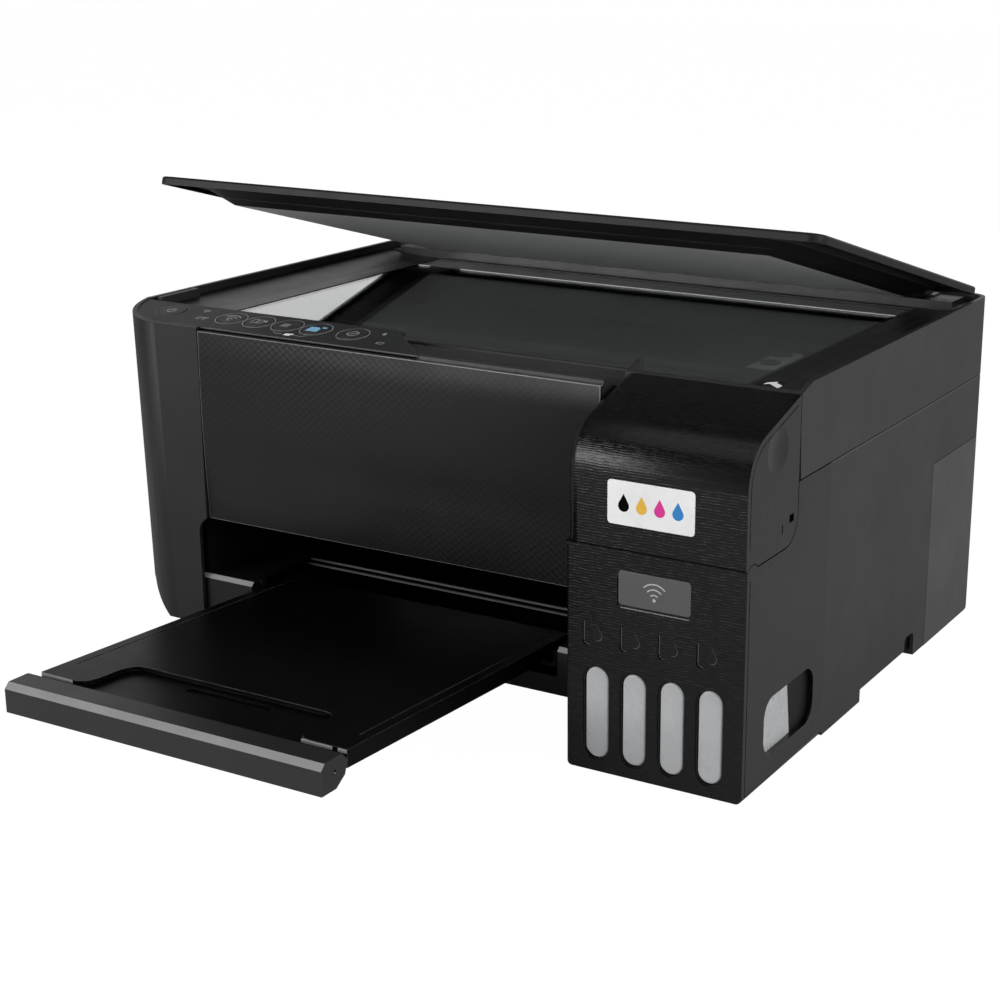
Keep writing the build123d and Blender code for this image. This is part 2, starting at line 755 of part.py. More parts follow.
def cap_ears(x):
    """Two ears on the deck with a pin for one tank cap."""
    span = 4.6
    ears = None
    for side in (-1, 1):
        a, b = sorted((x + side * span, x + side * (span + 1.6)))
        ear = block(a, b, cap_hinge_y - cap_ear_r, cap_hinge_y + cap_ear_r, tank_deck_z - 0.5, cap_hinge_z)
        ear += rod_x(cap_ear_r, a, b, cap_hinge_y, cap_hinge_z)
        ears = ear if ears is None else ears + ear
    return ears + rod_x(cap_pin_r, x - span - 0.5, x + span + 0.5, cap_hinge_y, cap_hinge_z)


def make_tank_cap(x):
    """Hinged plug: round cap, shallow plug for the neck and a lever to the pin."""
    z0 = neck_top_z + 0.3
    disc = rod_z(cap_r, z0, z0 + cap_t, x, neck_y)
    disc = chamfer(disc.edges().sort_by(Axis.Z)[-1], 0.6)
    plug = rod_z(neck_bore_r - 0.3, z0 - cap_plug_depth - 0.3, z0 + 1, x, neck_y)
    arm_w = 3.4
    lever = block(x - arm_w, x + arm_w, neck_y + 4, cap_hinge_y + 0.5, z0 + 0.4, z0 + cap_t - 0.4)
    hub = rod_x(cap_ear_r, x - arm_w, x + arm_w, cap_hinge_y, cap_hinge_z)
    tab = block(x - 3, x + 3, neck_y - cap_r - 3.5, neck_y - 4, z0 + 1, z0 + 2.6)
    cap = disc + plug + lever + hub + tab
    return cap - rod_x(cap_pin_r + pin_fit, x - 9, x + 9, cap_hinge_y, cap_hinge_z)


def make_ink_tank(index):
    """Hollow tank with a rounded lens in its window and a filling neck."""
    x = windows_x()[index]
    x0 = x - tank_w / 2
    x1 = x + tank_w / 2
    if index == window_count - 1:
        x1 = half_w - wall - 0.3
    z0 = skirt_z + wall
    body = block(x0, x1, tank_front_y, tank_rear_y, z0, tank_top_z)
    body = fillet(body.edges().filter_by(Axis.Z), 2.0)
    lens_half = window_w / 2 - lens_gap
    lens = prism_y(slot_face(x, lens_half, window_z0 + lens_gap, window_z1 - lens_gap), 1.0, tank_front_y + 1)
    lens = fillet(lens.faces().sort_by(Axis.Y)[0].edges(), 0.9)
    t = tank_wall
    cavity = block(x0 + t, x1 - t, tank_front_y + t, tank_rear_y - t, z0 + t, tank_top_z - t)
    neck = rod_z(neck_r, tank_top_z - 1, neck_top_z, x, neck_y)
    tank = body + lens + neck - cavity
    return tank - rod_z(neck_bore_r, tank_top_z - 3, neck_top_z + 1, x, neck_y)


def cover_face(inset):
    """Side profile of the tank cover in (Y, Z), made smaller by inset at front and top."""
    slope = radians(cover_top_slope)
    r = cover_bend_r - inset
    front = -cover_proud + inset
    cy = -cover_proud + cover_bend_r
    start = (front, cover_bend_z)
    end = (cy - r * sin(slope), cover_bend_z + r * cos(slope))
    turn = (pi / 2 - slope) / 2
    mid = (cy - r * cos(turn), cover_bend_z + r * sin(turn))
    back_z = end[1] + (cover_back_y - end[0]) * tan(slope)
    low = tank_seam_z + seam / 2
    edges = [
        Line((front, low), start),
        ThreePointArc(start, mid, end),
        Polyline(end, (cover_back_y, back_z), (cover_back_y, low), (front, low)),
    ]
    return make_face(edges)


def make_tank_cover():
    outer = cover_face(0)
    heel = outer.vertices().sort_by(lambda v: v.X - v.Y)[-1]
    outer = fillet(heel, cover_corner_r).face()
    shell = prism_x(outer, tank_x0, half_w)
    edge = shell.edges().filter_by(Axis.Z).sort_by(lambda e: e.center().X + e.center().Y)[0]
    shell = fillet(edge, tank_edge_r)
    inner = prism_x(cover_face(cover_wall), tank_x0 + cover_wall, half_w - cover_wall)
    below = block(tank_x0 + cover_wall, half_w - cover_wall, cover_wall - cover_proud, cover_back_y, 90, 130)
    shell -= inner + below
    shell -= rod_x(hinge_sweep_r, tank_x0 - 1, half_w + 1, hinge_y, hinge_z)
    for x in (tank_x0 + wall + 0.6, half_w - wall - 0.6 - hinge_arm_t):
        shell += goose_neck(x, x + hinge_arm_t)
    line = prism_x(cover_face(groove_y) - cover_face(groove_y + groove_w), half_w - groove_d, half_w + 1)
    shell -= line & block(0, far, -5, cover_back_y - 3, tank_seam_z + 9, rim_z)
    y1 = latch_y + latch_w
    shell -= block(half_w - cover_wall - 1, half_w + 1, latch_y, y1, latch_z, latch_z + latch_h)
    return shell - finger_recess()


def goose_neck(x0, x1):
    """Curved hinge arm that reaches round the top edge of the housing when the cover opens."""
    inner_r = hinge_sweep_r + 0.3
    outer_r = inner_r + 2.0
    ring = rod_x(outer_r, x0, x1, hinge_y, hinge_z) - rod_x(inner_r, x0 - 1, x1 + 1, hinge_y, hinge_z)
    reach = 40.0
    first = radians(15)
    last = radians(127)
    keep = outline(
        (hinge_y, hinge_z),
        (hinge_y + reach * cos(first), hinge_z + reach * sin(first)),
        (hinge_y + reach, hinge_z + reach),
        (hinge_y, hinge_z + reach * 1.2),
        (hinge_y + reach * cos(last), hinge_z + reach * sin(last)),
    )
    arm = ring & prism_x(keep, x0, x1)
    bar = block(x0, x1, hinge_y, hinge_y + inner_r + 1, hinge_z - 1.1, hinge_z + 1.1)
    arm += turned(bar, 20, hinge_y, hinge_z)
    arm += rod_x(hinge_hub_r, x0, x1, hinge_y, hinge_z)
    return arm - rod_x(hinge_pin_r + pin_fit, x0 - 1, x1 + 1, hinge_y, hinge_z)


def finger_recess():
    """Shallow thumb dent in the right face of the tank cover."""
    return Pos(half_w + 42.8, 27, 152) * Sphere(44.0)


def make_ink_tubes():
    """Ink lines from the tanks to a clip on the frame, laid side by side."""
    tube_r = 1.4
    tubes = None
    low = 8.0
    high = deck_low_z() + 5.4
    rise_y = 94.0
    clip_y = 119.2
    for window in windows_x():
        x = window - 4.0
        points = ((x, tank_rear_y, low), (x, rise_y, low), (x, rise_y, high), (x, clip_y, high))
        path = FilletPolyline(*points, radius=8)
        tube = sweep(Plane(origin=path @ 0, z_dir=path % 0) * Circle(tube_r), path=path)
        tubes = tube if tubes is None else tubes + tube
    clip_x0 = windows_x()[0] - 7.0
    clip_x1 = windows_x()[-1] - 1.5
    return tubes + block(clip_x0, clip_x1, clip_y - 0.5, clip_y + 1.2, deck_low_z(), high + 3)


# ---- scanner unit ---------------------------------------------------------------
def scan_plan(inset):
    """Plan of the scanner unit, made smaller by inset on every side."""
    narrow_x = -half_w + lean_at(seam_z) + wall + seam + inset
    wide_x = -half_w + inset
    right_x = half_w - inset
    step_x = tank_x0 + seam + inset
    front = scan_front_y + inset
    right_front = cover_back_y + seam + inset
    notch = notch_y + seam / 2 + inset
    back = case_back_y - inset
    plan = outline(
        (narrow_x, front),
        (step_x, front),
        (step_x, right_front),
        (right_x, right_front),
        (right_x, back),
        (wide_x, back),
        (wide_x, notch),
        (narrow_x, notch),
    )
    corners = plan.vertices().group_by(Axis.Y)[-1]
    return fillet(corners, back_corner_r - inset).face()


def make_scanner_case():
    low = seam_z + seam / 2
    case = prism_z(scan_plan(0), low, rim_z) - prism_z(scan_plan(wall), low + scan_floor_t, rim_z + 1)
    shoulder = outline(
        (cover_back_y, shoulder_z), (shoulder_y, rim_z), (shoulder_y, rim_z + 9), (cover_back_y, rim_z + 9)
    )
    case -= prism_x(shoulder, tank_x0, half_w + 1)
    case -= block(-half_w, tank_x0 + seam, scan_front_y - 1, scan_front_y + wall + 1, bezel_z + 1, rim_z + 1)
    for y, gap, x0, x1 in (
        (scan_front_y, scan_front_y - deck_back_y, -half_w, tank_x0 + seam),
        (notch_y + seam / 2, seam, -half_w - 1, -half_w + lean_at(seam_z) + wall + seam),
        (cover_back_y + seam, seam, tank_x0, half_w + 1),
    ):
        case -= lift_relief(y, gap, x0, x1)
    for x in (-tilt_post_x, tilt_post_x):
        half = tilt_post_t / 2 + tilt_pocket
        case -= block(x - half, x + half, tilt_y - 26, case_back_y + 1, low - 1, tilt_z + tilt_head_r + 1.2)
        for side in (-1, 1):
            a, b = sorted((x + side * half, x + side * (half + 2.4)))
            cheek = block(a, b, tilt_y - 7, case_back_y - wall, low, tilt_z)
            cheek += rod_x(tilt_head_r, a, b, tilt_y, tilt_z)
            case += cheek & prism_z(scan_plan(0), low, rim_z)
        case += rod_x(tilt_pin_r, x - half - 1, x + half + 1, tilt_y, tilt_z)
    for x in (-half_w + wall + 4, half_w - wall - 10):
        case += rod_post(x)
    case += rod_x(scan_rod_r, -half_w + wall + 4, half_w - wall - 4, scan_rod_y, scan_rod_z)
    case += rod_z(scan_pulley_r - 3.0, low + 1, scan_deck_z(), scan_pulley_x, scan_pulley_y)
    return case + rod_z(2.0, low + 1, scan_deck_z() + scan_pulley_h + 1, scan_pulley_x, scan_pulley_y)


def lift_relief(y, gap, x0, x1):
    """Wedge off the lower front of the case, which swings forward first when it is lifted."""
    low = seam_z + seam / 2
    reach = tilt_y - y
    drop = tilt_z - low
    depth = drop * drop / (2 * reach) - gap + tilt_relief
    start = tilt_z - sqrt(2 * reach * max(gap - tilt_relief, 0.0)) + 4.0
    wedge = outline((y - 1, low - 1), (y + depth, low - 1), (y + depth, low), (y, start), (y - 1, start))
    return prism_x(wedge, x0, x1)


def scan_deck_z():
    """Height at which the scanner's belt pulley sits on its boss."""
    return seam_z + seam / 2 + scan_floor_t + 8.0


def rod_post(x):
    """Post that carries one end of the scanner's guide rod."""
    low = seam_z + seam / 2 + 1
    return block(x, x + 6, scan_rod_y - 6, scan_rod_y + 6, low, scan_rod_z + 2)


def make_top_frame():
    """Frame inside the rim: sloping shelf, flat border, ledge for the glass and hinge strip."""
    gap = 0.3
    ledge = 3.0
    low = glass_z - glass_t - 1.6
    top = rim_z - rim_drop
    frame = prism_z(scan_plan(wall + gap), low, top)
    x0 = glass_x0 - bezel_w
    x1 = glass_x1 + bezel_w
    y0 = scan_front_y - 9
    y1 = glass_y1 + 4
    dish_low = Plane.XY.offset(bezel_z) * Pos((x0 + x1) / 2, (y0 + y1) / 2) * Rectangle(x1 - x0, y1 - y0)
    ex0 = -half_w + wall
    ex1 = half_w - wall
    dish_top = Plane.XY.offset(top + 0.01) * Pos((ex0 + ex1) / 2, (y0 + y1) / 2) * Rectangle(ex1 - ex0, y1 - y0)
    frame -= loft([dish_low.face(), dish_top.face()])
    frame -= block(glass_x0 - gap, glass_x1 + gap, glass_y0 - gap, glass_y1 + gap, glass_z - glass_t, top + 1)
    bed_x = (glass_x0 + ledge, glass_x1 - ledge)
    bed_y = (glass_y0 + ledge, glass_y1 - ledge)
    frame -= block(*bed_x, *bed_y, low - 1, glass_z - glass_t + 1)
    strip_y1 = case_back_y - wall - gap
    strip = prism_z(scan_plan(wall + gap), top - 1, lid_axis_z + 1.6)
    strip &= block(-lid_x + 10, lid_x - 10, y1, strip_y1, low, rim_z)
    for i in range(3):
        y = y1 + 2.4 + i * 2.6
        strip -= block(-lid_x, lid_x, y, y + 0.8, lid_axis_z + 0.8, rim_z)
    frame += strip
    for x in (-lid_arm_x, lid_arm_x):
        half = lid_arm_w / 2 + seam
        frame -= block(x - half, x + half, lid_axis_y - 11, strip_y1 + 1, lid_axis_z - lid_knuckle_r - 1.2, rim_z)
        frame += rod_x(lid_pin_r, x - half - 1, x + half + 1, lid_axis_y, lid_axis_z)
        frame += block(x - half - 3, x - half, lid_axis_y - 4, lid_axis_y + 4, top - 2, lid_axis_z + 2.5)
        frame += block(x + half, x + half + 3, lid_axis_y - 4, lid_axis_y + 4, top - 2, lid_axis_z + 2.5)
    for x in (-tilt_post_x, tilt_post_x):
        frame -= block(x - 8, x + 8, tilt_y - 9, case_back_y, low - 1, tilt_z + tilt_head_r + 1.2)
    return frame


def make_scan_glass():
    return block(glass_x0, glass_x1, glass_y0, glass_y1, glass_z - glass_t, glass_z)


def make_sensor_bar():
    """Contact image sensor bar on its sliding saddle."""
    half = sensor_w / 2
    top = glass_z - glass_t - sensor_glass_gap
    y0 = glass_y0 + 5
    y1 = glass_y1 - 5
    bar = block(sensor_x - half, sensor_x + half, y0, y1, top - sensor_h, top)
    bar -= block(sensor_x - 2, sensor_x + 2, y0 + 4, y1 - 4, top - 1.5, top + 1)
    low = scan_rod_z - 6
    bar += block(sensor_x - half, sensor_x + half, scan_rod_y - 8, scan_rod_y + 8, low, top - sensor_h)
    return bar - rod_x(scan_rod_r + pin_fit, sensor_x - half - 1, sensor_x + half + 1, scan_rod_y, scan_rod_z)


def make_scan_pulley():
    z0 = scan_deck_z() + 0.3
    pulley = rod_z(scan_pulley_r, z0, z0 + 1.2, scan_pulley_x, scan_pulley_y)
    pulley += rod_z(scan_pulley_r - 1.5, z0, z0 + scan_pulley_h, scan_pulley_x, scan_pulley_y)
    for i in range(12):
        a = 2 * pi * i / 12
        r = scan_pulley_r - 1.5
        pulley -= rod_z(0.7, z0 + 1.2, z0 + 9, scan_pulley_x + r * cos(a), scan_pulley_y + r * sin(a))
    return pulley - rod_z(2.0 + pin_fit, z0 - 1, z0 + 9, scan_pulley_x, scan_pulley_y)


# ---- document cover ---------------------------------------------------------------
def ajar(shape):
    """Turn a piece of the document cover from shut to the angle at which it stands."""
    return turned(shape, -lid_open, lid_axis_y, lid_axis_z)


def make_document_cover():
    low = rim_z + lid_gap
    plate = prism_z(rounded(-lid_x, lid_x, lid_front_y, lid_back_y, lid_corner_r), low, lid_top_z)
    plate = fillet(plate.faces().sort_by(Axis.Z)[-1].edges(), 1.2)
    t = lid_skirt_t
    inner = rounded(-lid_x + t, lid_x - t, lid_front_y + t, lid_back_y - t, lid_corner_r - t)
    plate -= prism_z(inner, low - 1, lid_top_z - lid_t)
    carrier_low = bezel_z + 0.5 + pad_t
    plate += frustum(0, carrier_low, carrier_flare, low)
    plate += prism_z(pad_outline(carrier_flare), low, lid_top_z - lid_t / 2)
    for x in (-lid_arm_x, lid_arm_x):
        a = x - lid_arm_w / 2
        b = x + lid_arm_w / 2
        plate += block(a, b, lid_back_y - 6, lid_axis_y, lid_axis_z + 1, lid_top_z - 1)
        plate += rod_x(lid_knuckle_r, a, b, lid_axis_y, lid_axis_z)
        plate -= rod_x(lid_pin_r + pin_fit, a - 1, b + 1, lid_axis_y, lid_axis_z)
    return ajar(plate)


def pad_outline(grow):
    return rounded(pad_x0 - grow, pad_x1 + grow, pad_y0 - grow, pad_y1 + grow, pad_corner_r + grow)


def frustum(grow0, z0, grow1, z1):
    """Plate with sloping edges between two outlines of the pad, each grown by its own amount."""
    return loft([Plane.XY.offset(z0) * pad_outline(grow0), Plane.XY.offset(z1) * pad_outline(grow1)])


def make_document_pad():
    low = bezel_z + 0.5
    return ajar(frustum(-pad_bevel + 0.01, low, 0, low + pad_t))


# ---- output tray --------------------------------------------------------------------
def tray_u(y):
    """Distance along the tray, measured from tray_ref_y."""
    return (y - tray_ref_y) / cos(radians(tray_slope))


def tray_plan():
    """Plan of the tray: two arms to the front, joined by S-shaped flanks to a straight edge."""
    tip = tray_u(tray_tip_y)
    edge = tray_u(tray_edge_y)
    rear = tray_u(tray_rear_y)
    la = tray_x0 + tray_arm_w
    lb = la + tray_s_w
    ra = tray_x1 - tray_arm_w
    rb = ra - tray_s_w
    return make_face(
        [
            Polyline((la, tip), (tray_x0, tip), (tray_x0, rear), (tray_x1, rear), (tray_x1, tip), (ra, tip)),
            Spline((ra, tip), (rb, edge), tangents=[(-1, 0), (-1, 0)]),
            Line((rb, edge), (lb, edge)),
            Spline((lb, edge), (la, tip), tangents=[(-1, 0), (-1, 0)]),
        ]
    )


def make_output_tray():
    tip = tray_u(tray_tip_y)
    edge = tray_u(tray_edge_y)
    rear = tray_u(tray_rear_y)
    tray = prism_z(tray_plan(), -tray_t, 0)
    rail_z = -tray_t - leaf_gap - leaf_t - leaf_gap
    for x, side in ((tray_x0, 1), (tray_x1, -1)):
        a, b = sorted((x, x + side * tray_skirt_t))
        tray += block(a, b, tip, rear, -tray_skirt, 0)
        a, b = sorted((x + side * tray_skirt_t, x + side * (tray_skirt_t + 3)))
        tray += block(a, b, edge, rear - 2, rail_z - 1.2, rail_z)
        tray += block(a, b, edge, rear - 2, -tray_skirt, rail_z - 1.1) & block(a, b, edge, rear, -99, 0)
        a, b = sorted((x, x - side * flange_w))
        tray += block(a, b, 3, rear, -tray_skirt, -tray_skirt + flange_t)
        a, b = sorted((x + side * tray_border, x + side * (tray_border + 0.7)))
        tray -= block(a, b, tip + 16, rear - 6, -0.5, 1)
    return tray_place(tray)


def make_tray_extension():
    """Second stage under the tray, with a slot and the handle lip at its front."""
    rear = tray_u(leaf_rear_y)
    top = -tray_t - leaf_gap
    x0 = tray_x0 + leaf_inset
    x1 = tray_x1 - leaf_inset
    leaf = block(x0, x1, tray_u(lip_back_y - 4), rear, top - leaf_t, top)
    leaf -= prism_z(rounded(slot_x0, slot_x1, tray_u(slot_y), tray_u(slot_y) + slot_w, 1.5), -20, 5)
    leaf = tray_place(leaf)
    b = lip_bevel
    face = outline(
        (lip_front_y, lip_bottom_z),
        (lip_front_y, lip_top_z - b),
        (lip_front_y + b, lip_top_z),
        (lip_back_y - 3.5, lip_top_z),
        (lip_back_y, lip_top_z - 4),
        (lip_back_y - 2, lip_bottom_z + 4),
        (lip_back_y - 8, lip_bottom_z),
    )
    lip = prism_x(face, lip_x0, lip_x1)
    lip -= rod_x(1.1, lip_x1 - 3, lip_x1 + 1, (lip_front_y + lip_back_y) / 2, lip_top_z - 6)
    return leaf + lip


# ---- paper transport -------------------------------------------------------------------
def involute_gear(teeth, width, bore, phase):
    """Spur gear about the Z axis from 0 to width; phase turns its first tooth, in degrees."""
    pitch_r = gear_module * teeth / 2
    base_r = pitch_r * cos(radians(20))
    tip_r = pitch_r + 0.95 * gear_module
    root_r = pitch_r - 1.25 * gear_module
    inv20 = tan(radians(20)) - radians(20)
    half = pi / (2 * teeth) - 0.12 / pitch_r

    def flank(r):
        if r <= base_r:
            return half + inv20
        t = sqrt((r / base_r) ** 2 - 1)
        return half + inv20 - (t - atan2(t, 1))

    radii = [root_r, max(base_r, root_r + 0.05), (pitch_r + base_r) / 2, pitch_r + 0.3, tip_r]
    points = []
    for i in range(teeth):
        mid = radians(phase) + 2 * pi * i / teeth
        for r in radii:
            points.append((r * cos(mid - flank(r)), r * sin(mid - flank(r))))
        for r in reversed(radii):
            points.append((r * cos(mid + flank(r)), r * sin(mid + flank(r))))
    gear = prism_z(outline(*points), 0, width)
    if bore > 0:
        gear -= Pos(0, 0, width / 2) * Cylinder(bore, width + 2)
    return gear


def gear_on_x(teeth, bore, y, z, phase):
    """Gear with its axis along X; phase 0 points its first tooth to +Y."""
    gear = involute_gear(teeth, gear_w, bore, phase)
    turn = Plane(origin=(gear_x, y, z), x_dir=(0, 1, 0), z_dir=(1, 0, 0))
    return turn.location * gear


def idler_y():
    """The idler sits midway between feed and eject roller."""
    return (feed_y + eject_y) / 2


def pinion_place():
    """Axis of the motor pinion, low behind the feed roller gear."""
    reach = gear_module * (feed_teeth + pinion_teeth) / 2
    return feed_y + reach * cos(radians(pinion_angle)), feed_z + reach * sin(radians(pinion_angle))


def make_feed_roller():
    x1 = paper_x1 + 10
    roller = rod_x(feed_r, paper_x0 - 2, paper_x1 + 2, feed_y, feed_z)
    roller += rod_x(shaft_r, gear_x - 6, x1, feed_y, feed_z)
    return roller + gear_on_x(feed_teeth, 0, feed_y, feed_z, 0)


def make_eject_roller():
    shaft = rod_x(shaft_r, gear_x - 6, paper_x1 + 10, eject_y, feed_z)
    span = (paper_x1 - paper_x0) / star_count
    for i in range(star_count):
        x = paper_x0 + (i + 0.5) * span
        shaft += rod_x(eject_r, x - 7, x + 7, eject_y, feed_z)
    return shaft + gear_on_x(feed_teeth, 0, eject_y, feed_z, 0)


def make_idler_gear():
    gap_phase = 180.0 / idler_teeth
    return gear_on_x(idler_teeth, shaft_r + pin_fit, idler_y(), feed_z, gap_phase)


def make_feed_pinion():
    y, z = pinion_place()
    mesh = pinion_angle + 180.0
    tooth = 360.0 / feed_teeth
    past = pinion_angle % tooth
    phase = mesh + 180.0 / pinion_teeth + past * feed_teeth / pinion_teeth
    gear = gear_on_x(pinion_teeth, motor_shaft_r, y, z, phase)
    return gear + rod_x(motor_shaft_r, gear_x - 0.5, motor_front_x() - pin_fit, y, z)


def motor_front_x():
    return gear_x + gear_w + 2.0


def make_star_wheels():
    z = star_z()
    wheels = rod_x(1.0, paper_x0 - 8, paper_x1 + 7, eject_y, z)
    span = (paper_x1 - paper_x0) / star_count
    points = []
    for i in range(2 * star_teeth):
        r = star_r if i % 2 == 0 else star_r - 1.1
        a = pi * i / star_teeth
        points.append((r * cos(a), r * sin(a)))
    for i in range(star_count):
        x = paper_x0 + (i + 0.5) * span
        wheels += prism_x(Pos(eject_y, z) * outline(*points), x - star_t / 2, x + star_t / 2)
    return wheels


def star_z():
    return feed_z + eject_r + star_r + star_gap


def make_star_holder():
    """Bar above the eject roller with a fork round each star wheel."""
    z = star_z()
    x0 = paper_x0 - 5
    x1 = paper_x1 + 4
    top = z + star_r + 2
    bar = block(x0, x1, eject_y - 8, eject_y + 6.5, top, top + 2.4)
    bar += block(x0, x1, eject_y - 8, eject_y - 6, z - 1, top + 1)
    span = (paper_x1 - paper_x0) / star_count
    for i in range(star_count):
        x = paper_x0 + (i + 0.5) * span
        for side in (-1, 1):
            a, b = sorted((x + side * 1.6, x + side * 3.2))
            fork = block(a, b, eject_y - 7, eject_y + 2.6, z - 2.6, top + 0.5)
            bar += fork - rod_x(1.0 + pin_fit, a - 1, b + 1, eject_y, z)
    return bar


def make_platen():
    """Ribbed platen with end brackets that carry the rollers and the star wheel bar."""
    y0 = eject_y + eject_r + 3
    y1 = feed_y - feed_r - 2
    base_z = platen_z - platen_t
    x0 = paper_x0 - 5
    x1 = paper_x1 + 4
    platen = block(x0, x1, y0, y1, base_z, platen_z - 2)
    pitch = (paper_x1 - paper_x0) / rib_count
    for i in range(rib_count + 1):
        x = paper_x0 + i * pitch
        platen += block(x - 0.6, x + 0.6, y0 + 1, y1 - 1, platen_z - 2.5, platen_z)
    bracket_top = platen_z + 1.0
    for x in (x0 - 3.0, x1):
        plate = block(x, x + 3, eject_y - 8, feed_y + 9, deck_low_z(), bracket_top)
        plate += block(x, x + 3, feed_y - 6, feed_y + 12, bracket_top - 1, feed_z + 12)
        plate += block(x, x + 3, eject_y - 8, eject_y + 6.5, bracket_top - 1, star_z() + star_r + 4.4)
        for y, r in ((feed_y, shaft_r), (eject_y, shaft_r)):
            plate -= rod_x(r + pin_fit, x - 1, x + 4, y, feed_z)
        plate -= rod_x(1.0 + pin_fit, x - 1, x + 4, eject_y, star_z())
        plate -= rod_x(pinch_shaft_r + pin_fit, x - 1, x + 4, pinch_y(), pinch_z())
        platen += plate
    legs = block(x0, x1, y0 + 2, y0 + 5, deck_low_z(), base_z + 0.5)
    legs += block(x0, x1, y1 - 5, y1 - 2, deck_low_z(), base_z + 0.5)
    return platen + legs + paper_guide()


def deck_low_z():
    """Upper face of the sheet metal deck that carries the platen."""
    return 53.6


def pinch_y():
    return feed_y + (feed_r + pinch_r + 0.3) * sin(radians(25))


def pinch_z():
    return feed_z + (feed_r + pinch_r + 0.3) * cos(radians(25))


def make_pinch_rollers():
    y = pinch_y()
    z = pinch_z()
    rollers = rod_x(pinch_shaft_r, paper_x0 - 8, paper_x1 + 7, y, z)
    span = (paper_x1 - paper_x0) / 4
    for i in range(4):
        x = paper_x0 + (i + 0.5) * span
        rollers += rod_x(pinch_r, x - 14, x + 14, y, z)
    return rollers


def paper_guide():
    """Upper paper guide behind the pinch rollers, hung between the end brackets."""
    x0 = paper_x0 - 5
    x1 = paper_x1 + 4
    y = pinch_y()
    z = pinch_z()
    guide = block(x0, x1, y + 5, y + 7, z - 3.5, z + 6)
    tail = outline((y + 5, z - 3.5), (y + 30, z + 2), (y + 30, z + 4), (y + 5, z - 1.5))
    return guide + prism_x(tail, x0, x1)


def make_mech_frame():
    """Pressed frame: rear rail with a bent top, two side plates and a deck for the platen."""
    rail = block(rail_x0, rail_x1, rail_y, rail_y + rail_t, rail_z0, rail_z1)
    rail += block(rail_x0, rail_x1, rail_y - 8, rail_y + rail_t, rail_z1 - rail_t, rail_z1)
    rail -= rod_y(motor_shaft_r + 2.0, rail_y - 2, rail_y + 4, drive_pulley_x, pulley_z())
    frame = rail
    for x in (rail_x0, rail_x1 - rail_t):
        low = plate_low_left if x == rail_x0 else plate_low_right
        side = outline(
            (100, low),
            (204, low),
            (204, 60),
            (rail_y + rail_t, 76),
            (rail_y + rail_t, rail_z1),
            (150, rail_z1),
            (112, 84),
            (100, 70),
        )
        frame += prism_x(side, x, x + rail_t)
    high = deck_low_z()
    step_x = gear_x + gear_w + 5
    low = feed_z - gear_module * (feed_teeth / 2 + 1) - 3.0
    frame += block(step_x, rail_x1, 119, 159, high - rail_t, high)
    frame += block(step_x, step_x + rail_t, 119, 159, low - rail_t, high)
    frame += block(rail_x0, step_x + rail_t, 119, 159, low - rail_t, low)
    frame += rod_y(2.0, belt_y0() - 0.4, rail_y + 0.5, idler_pulley_x, belt_z)
    frame += rod_x(guide_rod_r, rail_x0, rail_x1, guide_rod_y, guide_rod_z)
    stub = rod_x(shaft_r, rail_x0, gear_x + gear_w + 1, idler_y(), feed_z)
    return frame + stub


def make_capping_station():
    x0 = carriage_x - carriage_w / 2 + 4
    x1 = carriage_x + carriage_w / 2 - 4
    station = block(x0, x1, carriage_y0 - 2, carriage_y0 + 34, deck_low_z(), platen_z - 4)
    cx0 = carriage_x - cup_w / 2
    cx1 = carriage_x + cup_w / 2
    cy0 = carriage_y0 + 2
    cy1 = cy0 + cup_l
    cup = block(cx0, cx1, cy0, cy1, platen_z - 4.5, platen_z + 1)
    cup -= block(cx0 + cup_rim, cx1 - cup_rim, cy0 + cup_rim, cy1 - cup_rim, platen_z - 2, platen_z + 2)
    wiper = block(x0 + 1.5, x0 + 1.5 + wiper_t, cy0 + 1, cy1 - 1, platen_z - 4.5, platen_z + 1.2)
    return station + cup + wiper


# ---- print carriage -----------------------------------------------------------------------
def pulley_z():
    return belt_z


def make_carriage():
    x0 = carriage_x - carriage_w / 2
    x1 = carriage_x + carriage_w / 2
    lower = outline(
        (carriage_y0, carriage_z0),
        (158, carriage_z0),
        (158, 84),
        (carriage_y1, 84),
        (carriage_y1, carriage_z1 - 8),
        (160, carriage_z1),
        (carriage_y0 + 4, carriage_z1),
        (carriage_y0, carriage_z1 - 6),
    )
    body = prism_x(lower, x0, x1)
    pocket = block(x0 + 2.4, x1 - 2.4, carriage_y0 + 3, 156, carriage_z0 + 12, carriage_z1 + 1)
    body -= pocket
    body -= rod_x(guide_rod_r + pin_fit, x0 - 1, x1 + 1, guide_rod_y, guide_rod_z)
    run_z = belt_z - belt_inner_r() - belt_t
    for z in (run_z - run - 2.2, run_z + belt_t + run):
        body += block(carriage_x - 10, carriage_x + 10, carriage_y1 - 1, belt_y1(), z, z + 2.2)
    return body + ink_dampers()


def belt_inner_r():
    return pulley_r + 0.3


def belt_y0():
    return carriage_y1 + 0.8


def belt_y1():
    return belt_y0() + belt_w


def ink_dampers():
    """Four ink dampers standing in the carriage."""
    dampers = None
    pitch = (carriage_w - 12) / 4
    for i in range(4):
        x = carriage_x - carriage_w / 2 + 6 + (i + 0.5) * pitch
        damper = block(x - 5.2, x + 5.2, carriage_y0 + 4, 154, carriage_z0 + 12, carriage_z1 + 3)
        damper = chamfer(damper.edges().group_by(Axis.Z)[-1], 1.0)
        dampers = damper if dampers is None else dampers + damper
    return dampers


def make_print_head():
    head = block(carriage_x - 20, carriage_x + 20, carriage_y0 + 3, 155, carriage_z0 - head_h, carriage_z0)
    return chamfer(head.edges().group_by(Axis.Z)[0], 0.8)


